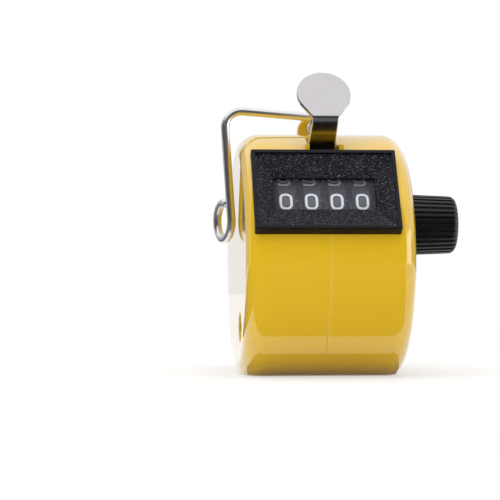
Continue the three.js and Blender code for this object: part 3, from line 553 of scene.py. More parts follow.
def bent(bm: Mesh, rule: Callable[[Vector], Vector]) -> Mesh:
    """Moves every vertex of a shape by a rule and turns the faces out again.

    Args:
        bm: The shape.
        rule: Takes a vertex's place and gives its new one.

    Returns:
        The shape.
    """
    for vert in bm.verts:
        vert.co = rule(vert.co)
    bmesh.ops.recalc_face_normals(bm, faces=bm.faces)
    return bm


def linked(name: str, data: bpy.types.ID) -> Piece:
    """Makes an object of the scene that shows some data.

    Args:
        name: The object's name.
        data: Its mesh, camera or light.

    Returns:
        The object.
    """
    piece = bpy.data.objects.new(name, data)
    bpy.context.scene.collection.objects.link(piece)
    return piece


def as_object(name: str, bm: Mesh) -> Piece:
    """Makes a shape an object of the scene, and uses the shape up.

    Args:
        name: The object's name.
        bm: The shape.

    Returns:
        The object.
    """
    mesh = bpy.data.meshes.new(name)
    bm.to_mesh(mesh)
    bm.free()
    return linked(name, mesh)


def carved(body: Mesh, tool: Mesh, how: Cut) -> Mesh:
    """Joins or cuts two closed bodies.

    Args:
        body: The body that changes. It is used up.
        tool: The other body. It is used up.
        how: What is done.

    Returns:
        The new closed body.
    """
    host = as_object("host", body)
    cutter = as_object("cutter", tool)
    change = host.modifiers.new("cut", "BOOLEAN")
    change.operation = how.value
    change.solver = "MANIFOLD"
    change.object = cutter
    bpy.context.view_layer.update()
    result = bmesh.new()
    result.from_object(host, bpy.context.evaluated_depsgraph_get())
    for piece in (host, cutter):
        mesh = piece.data
        bpy.data.objects.remove(piece)
        bpy.data.meshes.remove(mesh)
    if not result.faces:
        raise ValueError("a cut left nothing of a body")
    return result


def joined(*bodies: Mesh) -> Mesh:
    """Puts several bodies in one mesh as they are.

    Args:
        *bodies: The bodies. All but the first are used up.

    Returns:
        The first body, with the others in it.
    """
    whole = bodies[0]
    for body in bodies[1:]:
        mesh = bpy.data.meshes.new("part")
        body.to_mesh(mesh)
        body.free()
        whole.from_mesh(mesh)
        bpy.data.meshes.remove(mesh)
    return whole


NormalRule = Callable[[Vector, Vector], Optional[Vector]]


def lay_normals(mesh: bpy.types.Mesh, rule: NormalRule) -> None:
    """Sets the shading normals of a mesh by a rule, and leaves the rest.

    Args:
        mesh: The finished mesh, in metres.
        rule: Takes a corner's place in millimetres and its face's normal, and gives a normal or None.
    """
    normals = [Vector(corner.vector) for corner in mesh.corner_normals]
    for face in mesh.polygons:
        for k in face.loop_indices:
            place = mesh.vertices[mesh.loops[k].vertex_index].co / MM
            normals[k] = rule(place, face.normal) or normals[k]
    mesh.normals_split_custom_set(normals)


def finished(
    name: str,
    bm: Mesh,
    finish: Finish,
    body: str,
    nodes: Sequence[str] = (),
    crease: float = 32.0,
    extra: Sequence[Finish] = (),
    rule: Optional[NormalRule] = None,
) -> Piece:
    """Turns a shape into a piece of the object that rides on its body.

    Args:
        name: The piece's name.
        bm: The shape in millimetres. It is used up.
        finish: The piece's finish.
        body: The body that it rides on.
        nodes: The frame's nodes that it stands for.
        crease: The angle past which an edge stays sharp.
        extra: More finishes, for faces with a material index of 1 and up.
        rule: How shading normals are set, if not from the faces.

    Returns:
        The piece.
    """
    bmesh.ops.dissolve_degenerate(bm, dist=WELD, edges=bm.edges)
    limit = math.radians(crease)
    for face in bm.faces:
        face.smooth = True
    for edge in bm.edges:
        edge.smooth = not edge.is_manifold or edge.calc_face_angle() < limit
    bmesh.ops.scale(bm, vec=(MM, MM, MM), verts=bm.verts)
    piece = as_object(name, bm)
    for surface in (finish, *extra):
        piece.data.materials.append(surface.material())
    if rule:
        lay_normals(piece.data, rule)
    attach(piece, body)
    if nodes:
        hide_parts(*nodes)
    LOG.info("%s: %d faces on %s", name, len(piece.data.polygons), body)
    return piece


@dataclass
class Drum:
    """The case's outer form: a wide drum with rounded rims, lying along X."""

    radius: float = 29.0
    height: float = 27.0
    half_width: float = 19.2
    fillet: float = 5.0
    turn_steps: int = 256
    fillet_steps: int = 12
    skin_reach: float = 0.03
    skin_facing: float = 0.985

    @property
    def top(self) -> float:
        """The height of the drum's top."""
        return self.height + self.radius

    def profile(self, offset: float) -> list[Point]:
        """Gives the drum's outline, grown or shrunk by an offset.

        Args:
            offset: How far outside the skin it lies.

        Returns:
            The (x, radius) points from the left end of the axis to the right one.
        """
        round_off = self.fillet + offset
        edge = self.half_width + offset
        right = arc(round_off, 90, 0, (edge - round_off, self.radius + offset - round_off),
                    self.fillet_steps)
        return [(-edge, 0), *mirrored(right), *right, (edge, 0)]

    def body(self, offset: float, steps: int) -> Mesh:
        """Makes the whole drum at an offset."""
        return shifted(spun(self.profile(offset), steps), (0, 0, self.height))

    def skin_normal(self, place: Vector, normal: Vector) -> Optional[Vector]:
        """Gives the true normal where a corner lies on the drum's skin and faces as it does.

        Args:
            place: The corner's place.
            normal: Its face's normal.

        Returns:
            The normal, or None off the skin.
        """
        out = Vector((0, place.y, place.z - self.height))
        radius = out.length
        if radius < WELD:
            return None
        out /= radius
        side = math.copysign(1, place.x)
        over = abs(place.x) - (self.half_width - self.fillet)
        rise = radius - (self.radius - self.fillet)
        if over <= 0:
            true, gap = out, abs(radius - self.radius)
        elif rise <= 0:
            true, gap = Vector((side, 0, 0)), abs(abs(place.x) - self.half_width)
        else:
            true = (out * rise + Vector((side * over, 0, 0))).normalized()
            gap = abs(math.hypot(over, rise) - self.fillet)
        on_skin = gap < self.skin_reach and true.dot(normal) > self.skin_facing
        return true if on_skin else None


@dataclass
class LeverSize:
    """The thumb lever's sizes: a strip bent at three corners, with a round disc at its end."""

    centre_x: float = -0.6
    width: float = 5.8
    thickness: float = 1.1
    pivot: Point = (5.0, 45.0)
    knee: Point = (-3.5, 46.5)
    slot_point: Point = (-12.3, 51.8)
    fold: Point = (-19.2, 58.7)
    disc_angle: float = 55.5
    disc_radius: float = 6.15
    disc_distance: float = 6.8


@dataclass
class Case:
    """The two yellow shells, with the slot's cheeks, the bail's lug and the screw recesses.

    face_rings are the radii at which the flat sides are divided. hole_flare is how far the edge of
    the lug's hole is cut back, and hole_mouth and hole_lead shape its cutter outside the lug.
    """

    drum: Drum
    lever: LeverSize
    seam_x: float = -0.6
    seam_gap: float = 0.04
    seam_round: float = 0.16
    wall: float = 1.8
    base_round: float = 0.35
    straight_steps: int = 6
    seam_steps: int = 3
    face_rings: tuple[float, ...] = (18.0, 11.0, 4.0)
    slot_front: float = -16.6
    slot_back: float = -8.1
    slot_side_gap: float = 0.5
    cheek_width: float = 1.0
    cheek_lead: float = 0.3
    cheek_below_top: float = 3.1
    cheek_round: float = 0.3
    lug_y: float = 7.0
    lug_thickness: float = 4.0
    lug_width: float = 6.9
    lug_centre_z: float = 57.3
    lug_round: float = 0.55
    lug_steps: int = 32
    hole_z: float = 58.0
    hole_radius: float = 1.3
    hole_flare: float = 0.15
    hole_mouth: float = 2.4
    hole_lead: float = 0.01
    hole_steps: int = 40
    screws: tuple[tuple[Side, Point], ...] = (
        (Side.LEFT, (-9.6, 11.2)), (Side.RIGHT, (13.5, 10.5)), (Side.LEFT, (17.0, 40.0)))
    recess_radius: float = 3.4
    recess_depth: float = 2.1
    recess_lip: float = 0.35
    recess_lip_steps: int = 4
    recess_steps: int = 64
    column_wall: float = 1.2
    shank_hole: float = 1.55
    bush_hole: float = 3.1

    def seam(self, side: Side) -> float:
        """Gives where a shell ends at the seam."""
        return self.seam_x + side.value * self.seam_gap / 2

    def inner_drum(self) -> Mesh:
        """Makes the drum that the walls go round."""
        return self.drum.body(-self.wall, self.drum.turn_steps // 2)

    def half(self, side: Side) -> Mesh:
        """Makes one shell's outside as a solid, cut flat at the base.

        Args:
            side: Which shell.

        Returns:
            The solid.
        """
        seam = side.value * self.seam(side)
        drum = self.drum
        corner = drum.half_width - drum.fillet
        start = seam + self.seam_round
        lip = arc(self.seam_round, 180, 90, (start, drum.radius - self.seam_round),
                  self.seam_steps)
        straight = [(start + (corner - start) * k / self.straight_steps, drum.radius)
                    for k in range(1, self.straight_steps)]
        fillet = arc(drum.fillet, 90, 0, (corner, drum.radius - drum.fillet), drum.fillet_steps)
        face = [(drum.half_width, radius) for radius in self.face_rings]
        points = [(seam, 0), *lip, *straight, *fillet, *face, (drum.half_width, 0)]
        profile = [(side.value * x, r) for x, r in points]
        solid = shifted(spun(profile, drum.turn_steps), (0, 0, drum.height))
        kept_side(solid, (0, 0, 0), (0, 0, -1))
        base = [e for e in folded_edges(solid, above=30) if max(v.co.z for v in e.verts) < WELD]
        return rounded(solid, base, self.base_round)

    def hollow(self) -> Mesh:
        """Makes the room inside the walls, with the floor left in."""
        return kept_side(self.inner_drum(), (0, 0, self.wall), (0, 0, -1))

    def cheeks(self) -> Mesh:
        """Makes the flat-topped cheeks on both sides of the slot, as one block before it is cut.

        Returns:
            The closed block.
        """
        half = self.lever.width / 2 + self.slot_side_gap + self.cheek_width
        middle = self.lever.centre_x
        top = self.drum.top - self.cheek_below_top
        pad = block((middle - half, self.slot_front - self.cheek_lead, self.lever.pivot[1]),
                    (middle + half, self.slot_back, top))
        rims = [e for e in pad.edges if max(v.co.z for v in e.verts) == top]
        rounded(pad, rims, self.cheek_round)
        return carved(pad, self.inner_drum(), Cut.REMOVE)

    def lug(self) -> Mesh:
        """Makes the lug that the bail swings in: a round-topped tab with a hole.

        Returns:
            The closed tab.
        """
        half, face, radius = self.lug_width / 2, self.lug_thickness / 2, self.hole_radius
        low = self.drum.top - self.drum.fillet
        outline = [(half, low), *arc(half, 0, 180, (0, self.lug_centre_z), self.lug_steps), (-half, low)]
        tab = plate(outline, -face, face)
        rim = [e for e in folded_edges(tab, above=60) if max(v.co.z for v in e.verts) > low + WELD]
        rounded(tab, rim, self.lug_round, segments=4)
        turn = Matrix.Rotation(math.radians(90), 4, "Z")
        shifted(turned(tab, turn), (self.seam_x, self.lug_y, 0))
        flare = [(-2 * face, 0), (-2 * face, radius + self.hole_mouth),
                 (-face - self.hole_lead, radius + self.hole_flare),
                 (-face + self.hole_flare, radius), (0, radius)]
        hole = turned(spun([*flare, *mirrored(flare[:-1])], self.hole_steps), turn)
        return carved(tab, shifted(hole, (self.seam_x, self.lug_y, self.hole_z)), Cut.REMOVE)

    def slot(self) -> Mesh:
        """Makes the cutter of the lever's slot, whose front wall slopes as the strip does.

        Returns:
            The cutter.
        """
        lever, drum, front = self.lever, self.drum, self.slot_front
        half = lever.width / 2 + self.slot_side_gap
        skin = drum.height + math.sqrt(drum.radius ** 2 - front ** 2)
        low, top = skin - 2 * self.wall, drum.top + OVERRUN
        slope = (lever.slot_point[0] - lever.fold[0]) / (lever.fold[1] - lever.slot_point[1])
        outline = [(front - (z - skin) * slope, z) for z in (top, low)]
        outline += [(self.slot_back, low), (self.slot_back, top)]
        return plate(outline, lever.centre_x - half, lever.centre_x + half)

    def columns(self, side: Side) -> list[Mesh]:
        """Makes the screw columns inside one shell.

        Args:
            side: Which shell.

        Returns:
            One column for each screw.
        """
        inner = self.drum.half_width - self.wall / 2
        ends = sorted((side.value * inner, self.seam(side)))
        return [bar(self.recess_radius + self.column_wall, *ends, centre)
                for _, centre in self.screws]

    def recesses(self) -> list[Mesh]:
        """Makes the cutters of the screw recesses, flared at the mouth, and of the shank holes.

        Returns:
            One cutter for each screw.
        """
        face = -self.drum.half_width
        floor, end = face + self.recess_depth, 2 * self.drum.height / 3
        lip_centre = (face + self.recess_lip, self.recess_radius + self.recess_lip)
        lip = arc(self.recess_lip, 180, 270, lip_centre, self.recess_lip_steps)
        profile = [(face - OVERRUN, 0), (face - OVERRUN, lip[0][1]), *lip,
                   (floor, self.recess_radius), (floor, self.shank_hole), (end, self.shank_hole),
                   (end, 0)]
        return [shifted(spun([(-side.value * x, r) for x, r in profile], self.recess_steps),
                        (0, *centre)) for side, centre in self.screws]

    def shell(self, side: Side, bezel_room: Mesh, bezel_opening: Mesh, bush: Point) -> Mesh:
        """Makes one shell.

        Args:
            side: Which shell.
            bezel_room: What is kept clear over the bezel's place.
            bezel_opening: The cutter of the bezel's opening.
            bush: The (y, z) centre of the knob's bush.

        Returns:
            The shell's shape.
        """
        seam = self.seam(side)
        away = (-side.value, 0, 0)
        shell = carved(self.half(side), self.hollow(), Cut.REMOVE)
        for column in self.columns(side):
            shell = carved(shell, column, Cut.ADD)
        cheek = carved(kept_side(self.cheeks(), (seam, 0, 0), away), bezel_room, Cut.REMOVE)
        shell = carved(shell, cheek, Cut.ADD)
        shell = carved(shell, kept_side(self.lug(), (seam, 0, 0), away), Cut.ADD)
        for tool in (bezel_opening, self.slot(), *self.recesses(),
                     bar(self.bush_hole, 0, self.drum.half_width + OVERRUN, bush)):
            shell = carved(shell, tool, Cut.REMOVE)
        # The seam's rounded lip, on the outside, takes the painted highlight
        for face in shell.faces:
            _, y, z = face.calc_center_median()
            lip = max(abs(vert.co.x - seam) for vert in face.verts) < self.seam_round + WELD
            outside = math.hypot(y, z - self.drum.height) > self.drum.radius - self.seam_round
            face.material_index = int(lip and outside)
        return shell

    def build(self, bezel: "Bezel", bush: Point) -> list[Piece]:
        """Makes both shells as pieces.

        Args:
            bezel: The bezel that sits in the case.
            bush: The (y, z) centre of the knob's bush.

        Returns:
            The two pieces.
        """
        pieces = []
        for side, name in ((Side.LEFT, "left"), (Side.RIGHT, "right")):
            shape = self.shell(side, bezel.room(), bezel.opening(), bush)
            pieces.append(finished(f"case_{name}_half", shape, CASE_ABS, "case", [f"{name}_shell"],
                                   extra=[SEAM_HIGHLIGHT_ABS], rule=self.drum.skin_normal))
        return pieces


@dataclass
class Bezel:
    """The tilted black bezel, in a frame of its own: x across, y up its slope, z out of its face.

    edge_arc is the rounding of its outer edge: the first angle, the last one and the steps between.
    rim_chamfer is how far the rim's inner edge is cut back, across and down.
    """

    drum: Drum
    centre_x: float = -1.25
    stand_off: float = 0.6
    rise_angle: float = 32.0
    tilt: float = 32.0
    size: Point = (32.8, 21.2)
    depth: float = 6.65
    flange: float = 1.5
    overhang: float = 1.6
    rim: float = 0.9
    rim_step: float = 0.5
    corner: float = 0.35
    corner_steps: int = 4
    inner_corner: float = 0.06
    edge_round: float = 0.22
    edge_arc: tuple[float, float, int] = (30.0, 90.0, 2)
    rim_chamfer: Point = (0.05, 0.07)
    window_chamfer: float = 0.06
    window: Point = (23.0, 8.3)
    window_shift: Point = (-0.05, 0.0)
    funnel: float = 2.2
    lip: float = 0.5
    pane_room: Point = (25.2, 10.5)
    web: float = 3.85
    bridge_step: float = 0.02
    skirt_wall: float = 1.2
    skin_gap: float = 0.12
    room_gap: float = 0.4
    room_height: float = 9.0
    seat_gap: float = 0.16
    seat_sink: float = 0.1
    seat_height: float = 8.0

    @property
    def placing(self) -> Matrix:
        """The bezel's frame in space.

        Returns:
            The matrix that takes the frame to its place.
        """
        y, z = polar(self.drum.radius + self.stand_off, 180 - self.rise_angle, (0, self.drum.height))
        turn = Matrix.Rotation(math.radians(90 - self.tilt), 4, "X")
        return Matrix.Translation((self.centre_x, y, z)) @ turn

    @property
    def skirt(self) -> Point:
        """The width and height of the part that enters the case."""
        return grown(self.size, -2 * self.overhang)

    def placed(self, bm: Mesh) -> Mesh:
        """Puts a shape of the bezel's frame in its place."""
        return turned(bm, self.placing)

    def prism(self, size: Point, deep: float, shallow: float) -> Mesh:
        """Makes a rectangle of the bezel's frame between two depths."""
        return block((-size[0] / 2, -size[1] / 2, -deep), (size[0] / 2, size[1] / 2, -shallow))

    def room(self) -> Mesh:
        """Makes what stays clear over the bezel's place."""
        return self.placed(self.prism(grown(self.size, self.room_gap), self.depth,
                                      -self.room_height))

    def opening(self) -> Mesh:
        """Makes the cutter of the case's opening and of the flange's shallow seat round it.

        Returns:
            The cutter, in place.
        """
        opening = self.prism(grown(self.skirt, self.room_gap), self.depth + OVERRUN,
                             -self.room_height)
        seat = self.prism(grown(self.size, self.seat_gap), self.flange + self.seat_sink,
                          -self.seat_height)
        return self.placed(carved(opening, seat, Cut.ADD))

    def ring(self, size: Point, z: float, corner: float, shift: Point) -> list[Vector]:
        """Gives a rectangle with rounded corners.

        Args:
            size: The rectangle's width and height.
            z: Its place out of the face.
            corner: The radius of its corners.
            shift: Its centre.

        Returns:
            The points in order.
        """
        half_x, half_y = size[0] / 2 - corner, size[1] / 2 - corner
        points = []
        for k, (sign_x, sign_y) in enumerate(((1, 1), (-1, 1), (-1, -1), (1, -1))):
            centre = (shift[0] + sign_x * half_x, shift[1] + sign_y * half_y)
            points += arc(corner, 90 * k, 90 * (k + 1), centre, self.corner_steps)
        return [Vector((x, y, z)) for x, y in points]

    def body(self) -> Mesh:
        """Makes the bezel as a closed ring: rim, step, funnel, window, pocket and skirt.

        Returns:
            The shape in its own frame, with grained faces that carry painted glints at material index 1.
        """
        size, edge, small = self.size, self.edge_round, self.inner_corner
        inner = grown(size, -2 * self.rim)
        skirt_room = grown(self.skirt, -2 * self.skirt_wall)
        window, pane, shift = self.window, self.pane_room, self.window_shift
        (out, down), cut = self.rim_chamfer, self.window_chamfer
        deep, centre = self.funnel + self.lip, (0.0, 0.0)
        start, end, steps = self.edge_arc
        rows = [
            (size, self.bridge_step - self.depth, self.corner, centre),
            (size, -edge, self.corner, centre),
            *[(grown(size, 2 * (y - edge)), -edge + z, self.corner - edge + y, centre)
              for y, z in arc(edge, start, end, centre, steps)],
            (grown(inner, 2 * out), -self.bridge_step, small + out, centre),
            (inner, -down, small, centre),
            (inner, -self.rim_step, small, centre),
            (grown(window, 2 * cut), -self.funnel, small + cut, shift),
            (window, -self.funnel - cut, small, shift),
            (window, -deep, small, shift),
            (pane, -deep - self.bridge_step, small, shift),
            (pane, -self.web, small, shift),
            (skirt_room, -self.web - self.bridge_step, small, centre),
            (skirt_room, -self.depth, small, centre),
        ]
        bm = skinned([self.ring(*row) for row in rows], closed=True)
        for face in bm.faces:
            heights = [vert.co.z for vert in face.verts]
            sloped = min(heights) < WELD - self.funnel and max(heights) > -self.rim_step - WELD
            face.material_index = int(sloped and min(heights) > -self.funnel - WELD)
        return bm

    def build(self) -> Piece:
        """Makes the bezel, trimmed to the drum behind its flange and outside its skirt.

        Returns:
            The piece.
        """
        skirt = self.prism(self.skirt, self.depth + OVERRUN, -self.room_height)
        face = self.prism(grown(self.size, OVERRUN), self.flange, -self.seat_height)
        clear = self.placed(carved(skirt, face, Cut.ADD))
        radius, reach = self.drum.radius + self.skin_gap, 2 * self.drum.half_width
        skin = carved(bar(radius, -reach, reach, (0, self.drum.height), self.drum.turn_steps),
                      clear, Cut.REMOVE)
        trimmed = carved(self.placed(self.body()), skin, Cut.REMOVE)
        return finished("window_bezel", trimmed, RIM_ABS, "case", ["bezel"], crease=25.0,
                        extra=[BEZEL_ABS])


# Each digit's strokes: whether a stroke joins up, and its corners as shares of the half width and
# the half height
DIGIT_STROKE_SHARES: tuple[tuple[tuple[bool, tuple[Point, ...]], ...], ...] = (
    ((True, ((-1, -1), (1, -1), (1, 1), (-1, 1))),),
    ((False, ((-0.6, 0.6), (0.1, 1), (0.1, -1))),),
    ((False, ((-1, 0.55), (-1, 1), (1, 1), (1, 0.15), (-1, -1), (1, -1))),),
    ((False, ((-1, 0.6), (-1, 1), (1, 1), (1, 0.05), (-0.3, 0.05))),
     (False, ((0.2, 0.05), (1, 0.05), (1, -1), (-1, -1), (-1, -0.6)))),
    ((False, ((0.35, 1), (-1, -0.4), (1.1, -0.4))), (False, ((0.5, 0.3), (0.5, -1)))),
    ((False, ((0.95, 1), (-0.9, 1), (-0.9, 0.15), (1, 0.15), (1, -1), (-1, -1), (-1, -0.6))),),
    ((False, ((1, 0.65), (1, 1), (-1, 1), (-1, -0.3))),
     (True, ((-1, -1), (1, -1), (1, 0.15), (-1, 0.15)))),
    ((False, ((-1, 1), (1, 1), (-0.2, -1))),),
    ((True, ((-0.9, 0.1), (0.9, 0.1), (0.9, 1), (-0.9, 1))),
     (True, ((-1, -1), (1, -1), (1, 0.1), (-1, 0.1)))),
    ((False, ((-1, -0.65), (-1, -1), (1, -1), (1, 0.3))),
     (True, ((1, 1), (-1, 1), (-1, -0.15), (1, -0.15)))),
)


@dataclass
class Numerals:
    """Printed digits: strokes of even width with rounded corners."""

    width: float = 2.98
    height: float = 4.15
    stroke: float = 0.56
    corner: float = 1.2
    corner_steps: int = 6
    relief: float = 0.05
    fill_relief: float = 0.02
    fill_share: float = 0.72

    def path(self, shares: Sequence[Point], closed: bool) -> list[Vector]:
        """Gives a stroke's middle line with rounded corners.

        Args:
            shares: Its corners, as shares of the digit's half width and half height.
            closed: Whether it joins up.

        Returns:
            The points.
        """
        half = ((self.width - self.stroke) / 2, (self.height - self.stroke) / 2)
        corners = [Vector((x * half[0], y * half[1])) for x, y in shares]
        points: list[Vector] = []
        for k, at in enumerate(corners):
            if not closed and k in (0, len(corners) - 1):
                points.append(at)
                continue
            back = corners[k - 1] - at
            on = corners[(k + 1) % len(corners)] - at
            trim = min(self.corner, back.length / 2, on.length / 2)
            first, last = at + back.normalized() * trim, at + on.normalized() * trim
            for t in (i / self.corner_steps for i in range(self.corner_steps + 1)):
                points.append(first * (1 - t) ** 2 + at * 2 * t * (1 - t) + last * t ** 2)
        return points

    def stroke_body(self, line: list[Vector], closed: bool) -> Mesh:
        """Gives a stroke its width and relief.

        Args:
            line: The stroke's middle line.
            closed: Whether it joins up.

        Returns:
            The closed raised body, flat at the bottom.
        """
        bm = bmesh.new()
        pairs = []
        count = len(line)
        for k, at in enumerate(line):
            before = line[k - 1] if closed or k else at
            after = line[(k + 1) % count] if closed or k < count - 1 else at
            along = (after - before).normalized()
            across = Vector((-along.y, along.x)) * self.stroke / 2
            pairs.append([bm.verts.new((*(at + across), 0)), bm.verts.new((*(at - across), 0))])
        ends = pairs[1:] + pairs[:1] if closed else pairs[1:]
        faces = [bm.faces.new((a[0], a[1], b[1], b[0])) for a, b in zip(pairs, ends)]
        return thickened(bm, faces, (0, 0, self.relief))

    def digit(self, value: int) -> Mesh:
        """Makes one digit, flat, with the inside of its loops filled at material index 1.

        Args:
            value: The digit.

        Returns:
            The shape about its own middle.
        """
        strokes = []
        fills = []
        for closed, shares in DIGIT_STROKE_SHARES[value]:
            line = self.path(shares, closed)
            strokes.append(self.stroke_body(line, closed))
            if closed:
                inside = bmesh.new()
                middle = sum(line, Vector((0, 0))) / len(line)
                rim = [middle + (point - middle) * self.fill_share for point in line]
                face = inside.faces.new([inside.verts.new((*point, 0)) for point in rim])
                thickened(inside, [face], (0, 0, self.fill_relief))
                for each in inside.faces:
                    each.material_index = 1
                fills.append(inside)
        whole = strokes[0]
        for other in strokes[1:]:
            whole = carved(whole, other, Cut.ADD)
        for each in whole.faces:
            each.material_index = 0
        return joined(whole, *fills)


@dataclass
class WheelRow:
    """The four number wheels, their gears and their printed digits."""

    axis: Point
    radius: float = 10.9
    rim: float = 3.8
    pitch: float = 5.7
    centre_x: float = -1.1
    bore: float = 1.8
    chamfer: float = 0.25
    gear_teeth: int = 20
    gear_tip: float = 9.8
    gear_root: float = 7.8
    gear_width: float = 0.7
    tooth_root_share: float = 0.2
    tooth_tip_share: float = 0.085
    disc_radius: float = 7.6
    tooth_sink: float = 0.5
    overlap: float = 0.1
    pinion_angle: float = 60.0
    digit_turn: float = 36.0
    digit_angle: float = 28.0
    print_shift: float = -0.16
    print_spread: float = 0.07
    print_pitch: float = 0.35
    print_sink: float = 0.01
    turn_steps: int = 160

    names = ("units", "tens", "hundreds", "thousands")

    def rank(self, k: int) -> float:
        """Gives how many places wheel k, counted from the units, stands right of the middle."""
        return (len(self.names) - 1) / 2 - k

    def centre(self, k: int) -> float:
        """Gives the X of wheel k."""
        return self.centre_x + self.rank(k) * self.pitch

    def tooth(self, root: float, tip: float, middle: float) -> list[Point]:
        """Gives one gear tooth's four points about the axis.

        Args:
            root: The radius of its foot.
            tip: The radius of its tip.
            middle: The angle of its middle.

        Returns:
            The points from one flank to the other.
        """
        turn = 360 / self.gear_teeth
        return [polar(root, middle - self.tooth_root_share * turn),
                polar(tip, middle - self.tooth_tip_share * turn),
                polar(tip, middle + self.tooth_tip_share * turn),
                polar(root, middle + self.tooth_root_share * turn)]

    def wheel(self, k: int) -> Mesh:
        """Makes one wheel about the X axis.

        Args:
            k: Its place from the right.

        Returns:
            The closed body, in place.
        """
        half, cut, turn = self.rim / 2, self.chamfer, 360 / self.gear_teeth
        edge = [(half, self.radius - cut), (half - cut, self.radius)]
        outline = [(half, self.bore), *edge, *mirrored(edge), (-half, self.bore)]
        body = spun(outline, self.turn_steps, closed=True)
        if k > 0:
            phase = turn / 2 - self.pinion_angle
            teeth = [point for n in range(self.gear_teeth)
                     for point in self.tooth(self.gear_root, self.gear_tip, phase + n * turn)]
            ring = plate(teeth, half - self.overlap, half + self.gear_width)
            body = carved(body, carved(ring, bar(self.bore, 0, self.pitch), Cut.REMOVE), Cut.ADD)
        if k < len(self.names) - 1:
            ends = (-half - self.gear_width, self.overlap - half)
            profile = [(ends[0], self.bore), (ends[0], self.disc_radius),
                       (ends[1], self.disc_radius), (ends[1], self.bore)]
            body = carved(body, spun(profile, self.turn_steps, closed=True), Cut.ADD)
            middle = -self.pinion_angle - self.digit_turn
            for angle in (middle - turn / 2, middle + turn / 2):
                tooth = self.tooth(self.disc_radius - self.tooth_sink, self.gear_tip, angle)
                body = carved(body, plate(tooth, *ends), Cut.ADD)
        return shifted(body, (self.centre(k), *self.axis))

    def wrapped(self, k: int, value: int, numerals: Numerals) -> Mesh:
        """Lays one digit on a wheel.

        Args:
            k: The wheel's place from the right.
            value: The digit.
            numerals: How digits are drawn.

        Returns:
            The digit, in place.
        """
        half = numerals.height / 2
        flat = sliced(numerals.digit(value), 1, -half, half, self.print_pitch)
        middle = self.digit_angle - self.digit_turn * value
        across = self.centre(k) + self.print_shift + self.rank(k) * self.print_spread

        def lay(place: Vector) -> Vector:
            """Takes a flat place to the wheel's face."""
            angle = math.radians(middle) + place.y / self.radius
            reach = self.radius + place.z - self.print_sink
            return Vector((across + place.x, self.axis[0] - reach * math.cos(angle),
                           self.axis[1] + reach * math.sin(angle)))

        return bent(flat, lay)

    def build(self, numerals: Numerals) -> list[Piece]:
        """Makes the wheels and their digits.

        Args:
            numerals: How digits are drawn.

        Returns:
            The pieces.
        """
        pieces = []
        for k, name in enumerate(self.names):
            wheel = self.wheel(k)
            # Faces past the rim take the gear finish, painted lighter to offset the shade between the wheels
            for face in wheel.faces:
                beyond = abs(face.calc_center_median().x - self.centre(k)) > self.rim / 2
                face.material_index = int(beyond)
            pieces.append(finished(f"number_wheel_{name}", wheel, WHEEL_ABS, name,
                                   [f"wheel_{name}"], extra=[GEAR_ABS]))
            digits = joined(*[self.wrapped(k, value, numerals) for value in range(10)])
            pieces.append(finished(f"numerals_{name}", digits, NUMERAL_INK, name,
                                   extra=[COUNTER_INK]))
        return pieces


@dataclass
class BentLine:
    """A line of straight runs in the Y-Z plane, joined by arcs of a given radius."""

    corners: tuple[Point, ...]
    radii: tuple[float, ...]

    def __post_init__(self) -> None:
        """Works out the runs and the arcs between them."""
        self.parts: list[tuple[float, Vector, float, float]] = []
        at = Vector(self.corners[0])
        travelled = 0.0
        for k in range(1, len(self.corners)):
            here = Vector(self.corners[k])
            into = (here - Vector(self.corners[k - 1])).normalized()
            heading = math.atan2(into.y, into.x)
            if k == len(self.corners) - 1:
                self.parts.append((travelled, at.copy(), heading, 0.0))
                travelled += (here - at).length
                break
            out = (Vector(self.corners[k + 1]) - here).normalized()
            turn = math.atan2(into.x * out.y - into.y * out.x, into.dot(out))
            radius = self.radii[k - 1]
            trim = radius * math.tan(abs(turn) / 2)
            self.parts.append((travelled, at.copy(), heading, 0.0))
            start = here - into * trim
            travelled += (start - at).length
            self.parts.append((travelled, start.copy(), heading, math.copysign(1 / radius, turn)))
            travelled += radius * abs(turn)
            at = here + out * trim
        self.length = travelled

    def at(self, along: float) -> tuple[Vector, float]:
        """Gives the place and the heading at a distance along the line.

        Args:
            along: The distance from the start.

        Returns:
            The (y, z) place and the heading in radians.
        """
        start, place, heading, curve = next(
            part for part in reversed(self.parts) if along >= part[0] or part is self.parts[0])
        run = along - start
        if not curve:
            return place + Vector((math.cos(heading), math.sin(heading))) * run, heading
        angle = heading + curve * run
        reach = 1 / curve
        offset = Vector((math.sin(angle) - math.sin(heading), math.cos(heading) - math.cos(angle)))
        return place + offset * reach, angle


